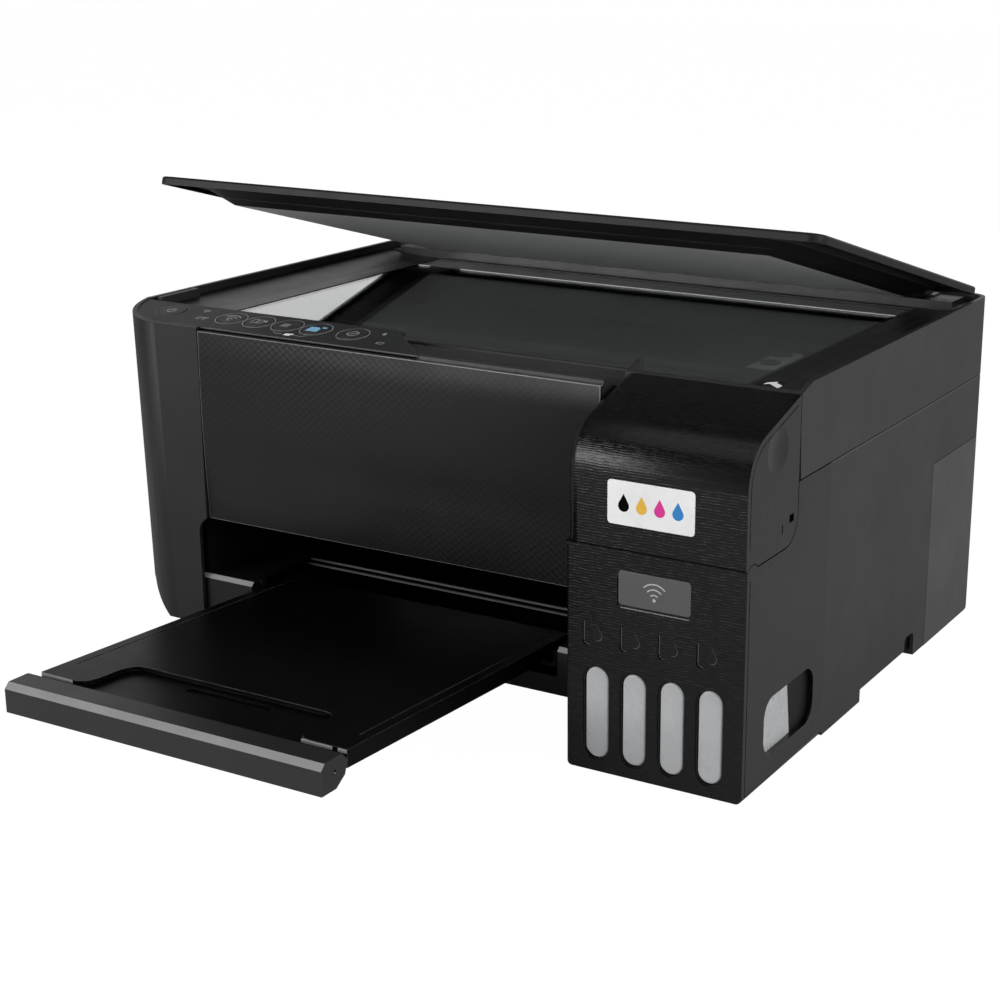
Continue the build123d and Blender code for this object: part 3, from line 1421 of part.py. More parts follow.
def make_belt():
    """Closed toothed belt, drawn smooth, round the two pulleys."""
    def loop(r):
        return make_face(
            [
                Line((drive_pulley_x, belt_z + r), (idler_pulley_x, belt_z + r)),
                ThreePointArc(
                    (idler_pulley_x, belt_z + r), (idler_pulley_x + r, belt_z), (idler_pulley_x, belt_z - r)
                ),
                Line((idler_pulley_x, belt_z - r), (drive_pulley_x, belt_z - r)),
                ThreePointArc(
                    (drive_pulley_x, belt_z - r), (drive_pulley_x - r, belt_z), (drive_pulley_x, belt_z + r)
                ),
            ]
        )

    inner = belt_inner_r()
    hole = prism_y(loop(inner), belt_y0() - 1, belt_y1() + 1)
    return prism_y(loop(inner + belt_t), belt_y0(), belt_y1()) - hole


def make_pulley(x, bore):
    pulley = rod_y(pulley_r, belt_y0() - 0.2, belt_y1() + 0.2, x, belt_z)
    for i in range(16):
        a = 2 * pi * i / 16
        pulley -= rod_y(0.6, belt_y0() - 1, belt_y1() + 1, x + pulley_r * cos(a), belt_z + pulley_r * sin(a))
    return pulley - rod_y(bore, belt_y0() - 2, belt_y1() + 2, x, belt_z)


def make_drive_pulley():
    shaft = rod_y(motor_shaft_r, belt_y0() - 0.4, rail_y + rail_t + 1.4, drive_pulley_x, belt_z)
    return make_pulley(drive_pulley_x, motor_shaft_r) + shaft


def motor_at_rail():
    y0 = rail_y + rail_t
    motor = rod_y(motor_r, y0, y0 + motor_len, drive_pulley_x, belt_z)
    x0 = drive_pulley_x - motor_r
    motor &= block(x0, x0 + 2 * motor_r, y0, y0 + 99, belt_z - 11, belt_z + 11)
    return motor - rod_y(motor_shaft_r + 1, y0 - 1, y0 + 2, drive_pulley_x, belt_z)


def motor_at_gears():
    y, z = pinion_place()
    x0 = motor_front_x()
    motor = rod_x(motor_r - 3, x0, x0 + 20, y, z)
    bracket = block(gear_x + gear_w + 0.6, x0, y - 16, y + 16, 6.0, z + 12)
    bracket -= rod_x(motor_shaft_r + 1.5, gear_x, x0 + 1, y, z)
    return motor + bracket


# ---- rear paper feeder -----------------------------------------------------------------------
def chute_at(z, offset=0.0):
    """Y of a plane parallel to the sheet at height z, offset to the back."""
    return chute_y - (feeder_top_z - z) * tan(radians(chute_angle)) + offset / cos(radians(chute_angle))


def chute_plate(z0, z1, offset, thickness, x0, x1):
    """Plate parallel to the sheet between two heights."""
    outer = offset + thickness
    front = (chute_at(z0, offset), z0), (chute_at(z1, offset), z1)
    back = (chute_at(z1, outer), z1), (chute_at(z0, outer), z0)
    return prism_x(outline(*front, *back), x0, x1)


def feeder_profile(inset):
    front = case_back_y + 0.3
    low = feeder_bottom_z + inset
    back = feeder_back_y - inset
    return outline(
        (front, low),
        (feeder_belly_y - inset * 0.6, low),
        (back, feeder_belly_z),
        (back, feeder_top_z - inset),
        (feeder_front_y + inset, feeder_top_z - inset),
        (feeder_front_y + inset, seam_z - 3),
        (front, seam_z - 3),
    )


def make_feeder_housing():
    """Shell behind the case with the sheet chute, its cheeks and the closed right end."""
    t = wall
    outer = prism_x(feeder_profile(0), feeder_x0, feeder_x1)
    outer = fillet(outer.edges().filter_by(Axis.Y).group_by(Axis.Z)[-1], 5.0)
    shell = outer - prism_x(feeder_profile(t), feeder_x0 + t, feeder_x1 - t)
    slot_x0 = paper_x0 - 8
    slot_x1 = paper_x1 + 6
    shell -= block(slot_x0, slot_x1, feeder_front_y + t, feeder_back_y - t, feeder_top_z - t - 1, 200)
    guard_low = guard_axis()[1] - guard_hub_r - run
    shell -= block(slot_x0, slot_x1, feeder_front_y - 1, feeder_front_y + t + 1, guard_low, 200)
    shell -= block(slot_x0, slot_x1, case_back_y - 1, feeder_front_y + t + 2, feeder_bottom_z + t, seam_z - 3 - t)
    shell -= block(slot_x0, slot_x1, case_back_y - 1, case_back_y + 3.5, feeder_bottom_z + t, seam_z - 3 - t)
    chute = chute_plate(hopper_z1() + 2, feeder_top_z - 4, 0, t, slot_x0 - 1, slot_x1 + 1)
    chute -= guide_slot(run)
    shell += chute
    shell += chute_plate(hopper_z0() - 6, hopper_z0() - 1.5, -1.0, t, slot_x0 - 1, slot_x1 + 1)
    cheek = outline(
        (chute_at(132, 12), 128),
        (chute_at(hopper_z0() - 6, 12), hopper_z0() - 6),
        (pickup_y() - 10, hopper_z0() - 6),
        (pickup_y() - 10, pickup_z() + 8),
        (chute_at(128, -8), 128),
    )
    for x in (slot_x0 - t, slot_x1):
        plate = prism_x(cheek, x, x + t)
        plate -= rod_x(shaft_r + pin_fit, x - 1, x + t + 1, pickup_y(), pickup_z())
        plate -= rod_x(hopper_pin_r + pin_fit, x - 1, x + t + 1, hopper_axis_y(), hopper_axis_z())
        shell += plate
    for x, side in ((support_x0, -1), (support_x1, 1)):
        shell += support_rail(x, side)
    for x in (slot_x0 - t, slot_x1):
        side = outline(
            (feeder_front_y + 1, 128),
            (feeder_front_y + 1, feeder_top_z - 1),
            (feeder_back_y - 1, feeder_top_z - 1),
            (feeder_back_y - 1, 128),
        )
        shell += prism_x(side, x, x + t)
    return shell + guard_ears()


def support_rail(x, side):
    """Rail on the back wall that holds one edge of the paper support; side is its outer side."""
    near = support_gap()
    back_gap = near + support_t + run
    a, b = sorted((x + side * run, x + side * (run + 2.0)))
    z0 = 132.0
    z1 = 166.0
    back = feeder_back_y - 1
    web = outline((chute_at(z0, near), z0), (chute_at(z1, near), z1), (back, z1), (back, z0))
    c, d = sorted((x - side * 4.0, x + side * (run + 1.0)))
    return prism_x(web, a, b) + chute_plate(z0, z1, back_gap, 1.6, c, d)


def guide_slot(gap):
    """Sideways slot in the chute in which the edge guide slides."""
    z = guide_z
    y = chute_at(z)
    x0 = paper_x0 - guide_w - 3 - gap
    x1 = paper_x0 + guide_travel + 3 + gap
    bar = block(x0, x1, y - 8, y + 8, z - 3 - gap, z + 3 + gap)
    return bar


def make_edge_guide():
    """Edge guide: fence, foot on the chute and a tongue held behind it."""
    x1 = paper_x0 - 0.5
    x0 = x1 - guide_w
    t = wall
    fence = chute_plate(guide_z - 14, guide_z + 20, -14, 14 - run, x0, x1)
    fence &= block(x0, x1, feeder_front_y + wall + 2 * run, feeder_back_y, 0, 200)
    foot = chute_plate(guide_z - 12, guide_z + 16, -2 - run, 2, x0, x1 + 9)
    tongue = block(x0, x1, chute_at(guide_z) - 3, chute_at(guide_z) + 5.6, guide_z - 3, guide_z + 3)
    tongue &= chute_plate(guide_z - 9, guide_z + 9, -1.5, t + 1.5 + run + 0.1, x0, x1)
    catch = chute_plate(guide_z - 5, guide_z + 5, t + run, 1.2, x0, x1)
    return fence + foot + tongue + catch


def support_gap():
    """Distance of the stowed paper support behind the sheet plane."""
    return wall + 0.4 + 1.2 + 0.8


def make_paper_support():
    """Sliding plate behind the chute that is drawn up to hold tall sheets."""
    top = feeder_top_z + 0.5
    low = top - support_len * cos(radians(chute_angle))
    plate = chute_plate(low, top, support_gap(), support_t, support_x0, support_x1)
    grip = chute_plate(top - 5, top, support_gap() - 1.0, support_t + 2.5, support_x0 + 50, support_x1 - 50)
    ribs = None
    for x in (support_x0 + 18, (support_x0 + support_x1) / 2, support_x1 - 18):
        rib = chute_plate(low + 6, top - 12, support_gap() + support_t - 0.4, 1.6, x - 2, x + 2)
        ribs = rib if ribs is None else ribs + rib
    return plate + grip + ribs


def hopper_axis_z():
    return seam_z - 8.0


def hopper_axis_y():
    return chute_at(hopper_axis_z(), hopper_t / 2)


def hopper_z1():
    return hopper_axis_z() + 3.5


def hopper_z0():
    return hopper_axis_z() - hopper_len * cos(radians(chute_angle))


def make_hopper():
    """Hinged plate that lifts the sheets to the pickup roller."""
    x0 = paper_x0 - 6
    x1 = paper_x1 + 4
    plate = chute_plate(hopper_z0(), hopper_axis_z() + 2.4, 0, hopper_t, x0, x1)
    plate += rod_x(hopper_pin_r, x0 - 3.6, x1 + 3.6, hopper_axis_y(), hopper_axis_z())
    return plate


def pickup_gap():
    return 4.4


def pickup_anchor_z():
    return hopper_z0() + 12


def pickup_y():
    a = radians(chute_angle)
    return chute_at(pickup_anchor_z()) - (pickup_r + pickup_gap()) * cos(a)


def pickup_z():
    a = radians(chute_angle)
    return pickup_anchor_z() + (pickup_r + pickup_gap()) * sin(a)


def make_pickup_roller():
    """D-shaped pickup roller on its shaft."""
    middle = (paper_x0 + paper_x1) / 2
    y = pickup_y()
    z = pickup_z()
    tyre = rod_x(pickup_r, middle - pickup_w / 2, middle + pickup_w / 2, y, z)
    tyre -= block(middle - 99, middle + 99, y - 40, y - pickup_r * 0.72, z - 40, z + 40)
    shaft = rod_x(shaft_r, paper_x0 - 12, paper_x1 + 10, y, z)
    for x in (middle - 70, middle + 70):
        shaft += rod_x(pickup_r - 5, x - 5, x + 5, y, z)
    return tyre + shaft


def guard_axis():
    return feeder_front_y + guard_hub_r + run, feeder_top_z - guard_hub_r + 1.2


def guard_ears():
    """Pins at the two front ends of the slot that carry the feeder guard."""
    y, z = guard_axis()
    ears = None
    for x, side in ((paper_x0 - 8, 1), (paper_x1 + 6, -1)):
        a, b = sorted((x - side * 1.0, x + side * 3.0))
        pin = rod_x(1.5, a, b, y, z)
        ears = pin if ears is None else ears + pin
    return ears


def make_feeder_guard():
    """Flap that covers the front half of the paper slot."""
    y, z = guard_axis()
    x0 = paper_x0 - 7.4
    x1 = paper_x1 + 5.4
    flap = block(x0, x1, y, y + 17, z + guard_hub_r - 1.8, z + guard_hub_r)
    flap += rod_x(guard_hub_r, x0, x1, y, z)
    return flap - rod_x(1.5 + pin_fit, x0 - 1, x1 + 1, y, z)


# ---- rear cover and electrical parts ---------------------------------------------------------
def cut_rear_cover(cover):
    low = feeder_bottom_z + wall
    cover -= block(feeder_x0 + 4, paper_x1 + 12, case_back_y - 5, case_back_y + 1, low, seam_z)
    face = rounded(inlet_x - 11, inlet_x + 11, inlet_z - 7, inlet_z + 7, 6.5)
    cover -= prism_y(face, case_back_y - 5, case_back_y + 1)
    cover -= block(usb_x - 7, usb_x + 7, case_back_y - 5, case_back_y + 1, usb_z - 7, usb_z + 7)
    for i in range(8):
        x = usb_x - 26 + i * 5.0
        cover -= block(x, x + 2.2, case_back_y - 5, case_back_y + 1, 84, 108)
    return cover


def ac_inlet():
    """Figure-of-eight appliance inlet with two pins."""
    y1 = case_back_y - 0.2
    shell = prism_y(rounded(inlet_x - 10.6, inlet_x + 10.6, inlet_z - 6.6, inlet_z + 6.6, 6.1), y1 - 20, y1)
    well = rod_y(4.4, y1 - 12, y1 + 1, inlet_x - 4.3, inlet_z)
    well += rod_y(4.4, y1 - 12, y1 + 1, inlet_x + 4.3, inlet_z)
    shell -= well
    shell += block(inlet_x - 14, inlet_x + 14, y1 - 5.5, y1 - 3.0, inlet_z - 10, inlet_z + 10) - well
    for side in (-1, 1):
        shell += rod_y(1.2, y1 - 13, y1 - 2, inlet_x + side * 4.3, inlet_z)
    return shell


def make_power_supply():
    x0 = -half_w + supply_inset
    y1 = case_back_y - 25.0
    y0 = y1 - supply_l
    top = supply_z0 + supply_h
    box = block(x0, x0 + supply_w, y0, y1, supply_z0, top)
    box = fillet(box.edges().filter_by(Axis.Z), 4)
    for i in range(4):
        box -= block(x0 + 8 + i * 7, x0 + 11 + i * 7, y0 + 8, y1 - 8, top - 2, top + 1)
    neck = block(inlet_x - 8, inlet_x + 8, y1 - 2, case_back_y - 20, inlet_z - 5, inlet_z + 5)
    return box + neck + ac_inlet()


def make_main_board():
    """Circuit board with its larger parts and the USB socket in the rear cover."""
    y0 = case_back_y - 14.0
    board = block(usb_x - 26, usb_x + 34, y0, y0 + 1.6, 18, 116)
    for x, z, w, h, d in ((usb_x + 20, 60, 9, 9, 2), (usb_x - 8, 88, 12, 7, 2.4), (usb_x + 18, 94, 7, 12, 3)):
        board += block(x - w, x + w, y0 - d, y0 + 0.1, z - h, z + h)
    for x in (usb_x - 16, usb_x - 4, usb_x + 8):
        board += rod_y(4.0, y0 - 9, y0 + 0.1, x, 30)
    for x in (usb_x - 22, usb_x + 30):
        for z in (32, 111):
            board += rod_y(2.5, y0 + 1.5, case_back_y - wall, x, z)
    socket = block(usb_x - 6, usb_x + 6, y0 + 1.5, case_back_y - 0.2, usb_z - 5.4, usb_z + 5.4)
    well = block(usb_x - 4.2, usb_x + 4.2, case_back_y - 9, case_back_y + 1, usb_z - 3.9, usb_z + 3.9)
    tongue = block(usb_x - 2.6, usb_x + 2.6, case_back_y - 9.5, case_back_y - 1.5, usb_z - 1.4, usb_z + 1.4)
    return board + (socket - well) + tongue


# ---- write every piece ------------------------------------------------------------------------
def main():
    os.makedirs("parts", exist_ok=True)
    skin = body_form(0) - body_form(wall)
    corner, left, right, right_rear, back = make_skins(skin)
    save("base_case", make_base_case())
    save("rubber_feet", make_feet())
    save("left_corner_cover", corner)
    save("left_side_cover", left)
    save("right_side_cover", right)
    save("right_rear_cover", right_rear)
    save("rear_cover", cut_rear_cover(back))
    save("front_panel", make_front_panel())
    save("front_strip", make_front_strip())
    save("control_panel", make_control_panel())
    for name, x in zip(("power", "network", "status", "mono_copy", "color_copy", "stop"), button_xs):
        save(f"{name}_button", make_button(x))
    save("tank_housing", make_tank_housing())
    save("tank_cover", make_tank_cover())
    for i, x in enumerate(windows_x()):
        save(f"ink_tank_{i + 1}", make_ink_tank(i))
        save(f"tank_cap_{i + 1}", make_tank_cap(x))
    save("ink_tubes", make_ink_tubes())
    save("scanner_case", make_scanner_case())
    save("scanner_top_frame", make_top_frame())
    save("scan_glass", make_scan_glass())
    save("scan_sensor_bar", make_sensor_bar())
    save("scan_pulley", make_scan_pulley())
    save("document_cover", make_document_cover())
    save("document_pad", make_document_pad())
    save("output_tray", make_output_tray())
    save("tray_extension", make_tray_extension())
    save("mech_frame", make_mech_frame())
    save("platen", make_platen())
    save("star_wheel_holder", make_star_holder())
    save("star_wheels", make_star_wheels())
    save("feed_roller", make_feed_roller())
    save("eject_roller", make_eject_roller())
    save("pinch_rollers", make_pinch_rollers())
    save("idler_gear", make_idler_gear())
    save("feed_pinion", make_feed_pinion())
    save("drive_motors", motor_at_rail() + motor_at_gears())
    save("capping_station", make_capping_station())
    save("print_carriage", make_carriage())
    save("print_head", make_print_head())
    save("carriage_belt", make_belt())
    save("drive_pulley", make_drive_pulley())
    save("idler_pulley", make_pulley(idler_pulley_x, 2.0 + pin_fit))
    save("feeder_housing", make_feeder_housing())
    save("edge_guide", make_edge_guide())
    save("paper_support", make_paper_support())
    save("feeder_guard", make_feeder_guard())
    save("hopper_plate", make_hopper())
    save("pickup_roller", make_pickup_roller())
    save("power_supply", make_power_supply())
    save("main_board", make_main_board())


main()
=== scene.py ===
"""Looks of the ink-tank inkjet printer: materials, printed marks, small trim, light and camera."""
import json
import math

import bmesh
import bpy
from mathutils import Matrix, Vector


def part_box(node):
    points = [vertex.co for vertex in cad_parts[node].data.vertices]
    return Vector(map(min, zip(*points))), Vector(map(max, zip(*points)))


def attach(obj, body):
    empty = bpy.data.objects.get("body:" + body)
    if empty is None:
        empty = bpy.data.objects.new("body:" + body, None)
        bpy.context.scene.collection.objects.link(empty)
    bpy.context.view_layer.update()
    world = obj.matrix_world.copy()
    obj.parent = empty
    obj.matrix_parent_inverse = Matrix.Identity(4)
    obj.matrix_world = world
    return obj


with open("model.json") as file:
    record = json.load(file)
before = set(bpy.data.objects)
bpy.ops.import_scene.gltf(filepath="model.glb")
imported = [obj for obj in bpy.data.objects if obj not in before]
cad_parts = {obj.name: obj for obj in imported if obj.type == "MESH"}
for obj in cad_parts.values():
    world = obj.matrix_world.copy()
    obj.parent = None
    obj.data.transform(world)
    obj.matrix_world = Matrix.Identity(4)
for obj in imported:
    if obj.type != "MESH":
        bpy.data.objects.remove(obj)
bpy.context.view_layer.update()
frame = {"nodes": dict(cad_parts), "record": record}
NODES = frame["nodes"]
JOINTS = {joint["name"]: joint for joint in frame["record"]["behaviour"]["joints"]}
MM = 0.001


# ---------------------------------------------------------------- flat outlines, in mm
def around(cx, cy, r, degrees):
    """Point on a circle."""
    angle = math.radians(degrees)
    return (cx + r * math.cos(angle), cy + r * math.sin(angle))


def rounded_rect(cx, cy, w, h, r, steps=6):
    points = []
    for right, up, start in ((1, 1, 0), (-1, 1, 90), (-1, -1, 180), (1, -1, 270)):
        x = cx + right * (w / 2 - r)
        y = cy + up * (h / 2 - r)
        points += [around(x, y, r, start + 90 * i / steps) for i in range(steps + 1)]
    return [points]


def disc(cx, cy, r, steps):
    return [[around(cx, cy, r, 360 * i / steps) for i in range(steps)]]


def arc(cx, cy, r, width, start=0.0, end=360.0, steps=40):
    """Ring or part of one, as a row of quads; angles in degrees, steps for a full turn."""
    count = max(4, int(steps * abs(end - start) / 360))
    quads = []
    for i in range(count):
        near = start + (end - start) * i / count
        far = start + (end - start) * (i + 1) / count
        quads.append(
            [
                around(cx, cy, r - width / 2, near),
                around(cx, cy, r + width / 2, near),
                around(cx, cy, r + width / 2, far),
                around(cx, cy, r - width / 2, far),
            ]
        )
    return quads


def stroke(points, width, closed=False):
    """Line of even width through the points: one quad per stretch, half a width longer at each end."""
    quads = []
    ends = points[1:] + points[:1] if closed else points[1:]
    for (ax, ay), (bx, by) in zip(points, ends):
        length = math.hypot(bx - ax, by - ay)
        ux = (bx - ax) / length * width / 2
        uy = (by - ay) / length * width / 2
        quads.append(
            [
                (ax - ux + uy, ay - uy - ux),
                (bx + ux + uy, by + uy - ux),
                (bx + ux - uy, by + uy + ux),
                (ax - ux - uy, ay - uy + ux),
            ]
        )
    return quads


def frame_rect(cx, cy, w, h, width):
    """Rectangle drawn as a line of even width."""
    x = w / 2
    y = h / 2
    corners = [(cx - x, cy - y), (cx + x, cy - y), (cx + x, cy + y), (cx - x, cy + y)]
    return stroke(corners, width, closed=True)


def cut_rect(w, h, cut_x, cut_y):
    """Rectangle about the origin with its four corners cut off."""
    x = w / 2
    y = h / 2
    front = [(-x, cut_y - y), (cut_x - x, -y), (x - cut_x, -y), (x, cut_y - y)]
    return [front + [(-a, -b) for a, b in front]]


def drop(cx, cy, size, steps=18):
    """Drop of ink: a round foot and a pointed top."""
    foot_r = size * 0.36
    foot_y = cy - size * 0.14
    foot = [around(cx, foot_y, foot_r, -215 + 250 * i / steps) for i in range(steps + 1)]
    return [foot + [(cx, cy + size * 0.6)]]


def sheet_outline(cx, cy, w, h, fold):
    """Sheet of paper with its upper right corner cut off by the fold."""
    x = w / 2
    y = h / 2
    right = [(cx + x, cy - y), (cx + x, cy + y - fold), (cx + x - fold, cy + y)]
    return [(cx - x, cy - y)] + right + [(cx - x, cy + y)]


def sheet_mark(cx, cy, w, h, width):
    """Sheet drawn as a line of even width."""
    return stroke(sheet_outline(cx, cy, w, h, w * 0.3), width, closed=True)


def filled_sheet(cx, cy, w, h):
    return [sheet_outline(cx, cy, w, h, w * 0.28)]


def fan(cx, cy, size, width):
    """Three arcs over a dot, for the wireless link."""
    foot = cy - size * 0.42
    outlines = disc(cx, foot, size * 0.1, 12)
    for i in range(1, 4):
        outlines += arc(cx, foot, size * 0.3 * i, width, 45, 135, 48)
    return outlines


def shifted(outlines, dx, dy):
    return [[(a + dx, b + dy) for a, b in outline] for outline in outlines]


# ---------------------------------------------------------------- drawing planes and pieces
class Plane:
    """Drawing plane on the printer: origin in metres, drawing units mm, out is its normal."""

    def __init__(self, origin, across, up):
        self.origin = Vector(origin)
        self.across = Vector(across).normalized()
        self.up = Vector(up).normalized()
        self.out = self.across.cross(self.up)

    def at(self, a, b, height):
        return self.origin + (a * self.across + b * self.up + height * self.out) * MM


def add_object(name, data):
    obj = bpy.data.objects.new(name, data)
    bpy.context.scene.collection.objects.link(obj)
    return obj


def piece(name, solids, body, look, bevel=0.0):
    """Piece of closed solids, each between a foot and a head outline with as many points."""
    bm = bmesh.new()
    for foot_points, head_points in solids:
        foot = [bm.verts.new(point) for point in foot_points]
        head = [bm.verts.new(point) for point in head_points]
        bm.faces.new(head)
        bm.faces.new(list(reversed(foot)))
        for i in range(len(foot)):
            j = (i + 1) % len(foot)
            bm.faces.new((foot[i], foot[j], head[j], head[i]))
    bmesh.ops.recalc_face_normals(bm, faces=bm.faces)
    mesh = bpy.data.meshes.new(name)
    bm.to_mesh(mesh)
    bm.free()
    mesh.materials.append(LOOKS[look])
    obj = add_object(name, mesh)
    if bevel:
        rounding = obj.modifiers.new("edge", "BEVEL")
        rounding.width = bevel * MM
        rounding.segments = 2
        rounding.limit_method = "ANGLE"
    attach(obj, body)


def slab(name, plane, outlines, low, high, body, look, bevel=0.0):
    """Outlines raised from low to high above a plane, in mm."""
    solids = []
    for outline in outlines:
        foot = [plane.at(a, b, low) for a, b in outline]
        head = [plane.at(a, b, high) for a, b in outline]
        solids.append((foot, head))
    piece(name, solids, body, look, bevel)


def beam(name, profile, x0, x1, body, look):
    """Profile of (y, z) points in metres, drawn out along X from x0 to x1."""
    ends = [[(x, y, z) for y, z in profile] for x in (x0, x1)]
    piece(name, [ends], body, look)


# ---------------------------------------------------------------- materials
class Mat:
    """A node material with a few short-hand calls."""

    def __init__(self, name, color, rough, **sockets):
        self.material = bpy.data.materials.new(name)
        self.material.use_nodes = True
        self.tree = self.material.node_tree
        self.shader = self.tree.nodes["Principled BSDF"]
        self.shader.inputs["Base Color"].default_value = (*color, 1)
        self.shader.inputs["Roughness"].default_value = rough
        for key, value in sockets.items():
            self.shader.inputs[key.replace("_", " ")].default_value = value
        self.color = color
        self.rough = rough
        self.coords = self.node("ShaderNodeTexCoord").outputs["Object"]

    def node(self, kind, **props):
        node = self.tree.nodes.new(kind)
        for key, value in props.items():
            setattr(node, key, value)
        return node

    def link(self, output, socket):
        self.tree.links.new(output, socket)

    def feed(self, socket, value):
        """Sets an input to a number, or links an output to it."""
        if isinstance(value, (int, float)):
            socket.default_value = value
        else:
            self.link(value, socket)

    def noise(self, scale, detail=3.0, rough=0.5, vector=None):
        node = self.node("ShaderNodeTexNoise")
        node.inputs["Scale"].default_value = scale
        node.inputs["Detail"].default_value = detail
        node.inputs["Roughness"].default_value = rough
        self.link(vector or self.coords, node.inputs["Vector"])
        return node.outputs["Fac"]

    def math(self, operation, *values):
        node = self.node("ShaderNodeMath", operation=operation)
        for socket, value in zip(node.inputs, values):
            self.feed(socket, value)
        return node.outputs[0]

    def ramp(self, value, low, high, start, end):
        """Turns the span low to high into start to end."""
        node = self.node("ShaderNodeMapRange")
        node.inputs["From Min"].default_value = low
        node.inputs["From Max"].default_value = high
        node.inputs["To Min"].default_value = start
        node.inputs["To Max"].default_value = end
        self.link(value, node.inputs["Value"])
        return node.outputs["Result"]

    def mix_color(self, factor, first, second):
        """Colour between two; in a mix node, sockets 6, 7 and 2 are the ones for colours."""
        node = self.node("ShaderNodeMix", data_type="RGBA")
        self.link(factor, node.inputs[0])
        for i, color in ((6, first), (7, second)):
            if isinstance(color, tuple):
                node.inputs[i].default_value = (*color, 1)
            else:
                self.link(color, node.inputs[i])
        return node.outputs[2]

    def xyz(self, source=None):
        node = self.node("ShaderNodeSeparateXYZ")
        self.link(source or self.coords, node.inputs[0])
        return node.outputs[0], node.outputs[1], node.outputs[2]

    def combine(self, x, y, z=0.0):
        node = self.node("ShaderNodeCombineXYZ")
        for socket, value in zip(node.inputs, (x, y, z)):
            self.feed(socket, value)
        return node.outputs[0]

    def bump(self, height, strength, distance, chain=None):
        """Relief as deep as distance, in metres; chain is an earlier bump that it adds to."""
        node = self.node("ShaderNodeBump")
        node.inputs["Strength"].default_value = strength
        node.inputs["Distance"].default_value = distance
        self.link(height, node.inputs["Height"])
        if chain:
            self.link(chain, node.inputs["Normal"])
        self.link(node.outputs[0], self.shader.inputs["Normal"])
        return node.outputs[0]

    def faces_side(self):
        """1 on faces that look along X, 0 on the rest."""
        normal_x = self.xyz(self.node("ShaderNodeNewGeometry").outputs["Normal"])[0]
        return self.ramp(self.math("ABSOLUTE", normal_x), 0.75, 0.92, 0, 1)

    def wear(self, amount, scale=26.0, rough_span=0.03):
        """Slow change of colour and gloss over the surface."""
        slow = self.ramp(self.noise(scale, 4.0, 0.55), 0.3, 0.7, 0, 1)
        darker = scaled(self.color, 1 - amount)
        lighter = scaled(self.color, 1 + amount)
        self.link(self.mix_color(slow, darker, lighter), self.shader.inputs["Base Color"])
        self.vary_rough(self.noise(scale * 2.3, 5.0, 0.6), rough_span, rough_span)

    def vary_rough(self, noise, less, more):
        """Roughness that strays from the material's own, down by less and up by more."""
        rough = self.ramp(noise, 0.3, 0.7, self.rough - less, self.rough + more)
        self.link(rough, self.shader.inputs["Roughness"])


def scaled(color, factor):
    return tuple(min(1, c * factor) for c in color)


def gloss(level):
    return {"Specular_IOR_Level": level}


def plastic(name, color, rough, grain=1400.0, depth=0.3, wear=0.15, level=0.5):
    """Moulded plastic with a spark-eroded grain."""
    m = Mat(name, color, rough, **gloss(level))
    m.wear(wear)
    first = m.bump(m.noise(grain, 2.0, 0.6), depth, 0.00005)
    m.bump(m.noise(grain * 0.22, 3.0, 0.5), depth * 0.5, 0.0001, first)
    return m.material


# the front panel's diamonds: width in metres, width over height, and the face they fade over, in metres
DIAMOND_WIDTH = 0.0044
DIAMOND_RATIO = 1.25
LATTICE_LEFT = -0.014
LATTICE_WIDTH = 0.114
LATTICE_FOOT = 0.108
LATTICE_HEIGHT = 0.045
# from one of the tank unit's wavy ridges to the next, in metres
RIPPLE_PITCH = 0.0013


def diamond_plastic(name, color, rough, level):
    """Moulded plastic with a fine lattice of diamonds that fades in and out over the panel, with painted
    shade in its pits.
    """
    m = Mat(name, color, rough, **gloss(level))
    x, _, z = m.xyz()
    turn = math.pi / DIAMOND_WIDTH
    lean = m.math("MULTIPLY", z, DIAMOND_RATIO)
    rising = m.math("SINE", m.math("MULTIPLY", m.math("ADD", x, lean), turn))
    falling = m.math("SINE", m.math("MULTIPLY", m.math("SUBTRACT", x, lean), turn))
    lattice = m.math("MULTIPLY", m.math("ABSOLUTE", rising), m.math("ABSOLUTE", falling))
    dots = m.ramp(lattice, 0.05, 0.45, 0, 1)
    across = m.math("DIVIDE", m.math("SUBTRACT", x, LATTICE_LEFT), LATTICE_WIDTH)
    upward = m.math("DIVIDE", m.math("SUBTRACT", z, LATTICE_FOOT), LATTICE_HEIGHT)
    corners = m.math("ABSOLUTE", m.math("SUBTRACT", across, upward))
    cloud = m.ramp(m.noise(11.0, 3.0, 0.5), 0.38, 0.62, 0.45, 1.0)
    patch = m.math("MULTIPLY", cloud, m.ramp(corners, 0.2, 1.3, 0.2, 1.0))
    depth = m.math("MULTIPLY", dots, patch)
    pits = m.math("MULTIPLY", m.math("SUBTRACT", 1.0, dots), patch)
    # darker colour in the pits and lighter on the raised diamonds: painted shade and highlight on the real
    # relief
    shade = m.mix_color(pits, scaled(color, 1.3), scaled(color, 0.3))
    m.link(shade, m.shader.inputs["Base Color"])
    m.vary_rough(m.noise(25.0, 4.0), 0.05, 0.07)
    first = m.bump(depth, 0.6, 0.00011)
    m.bump(m.noise(1500.0, 2.0), 0.2, 0.00005, first)
    return m.material


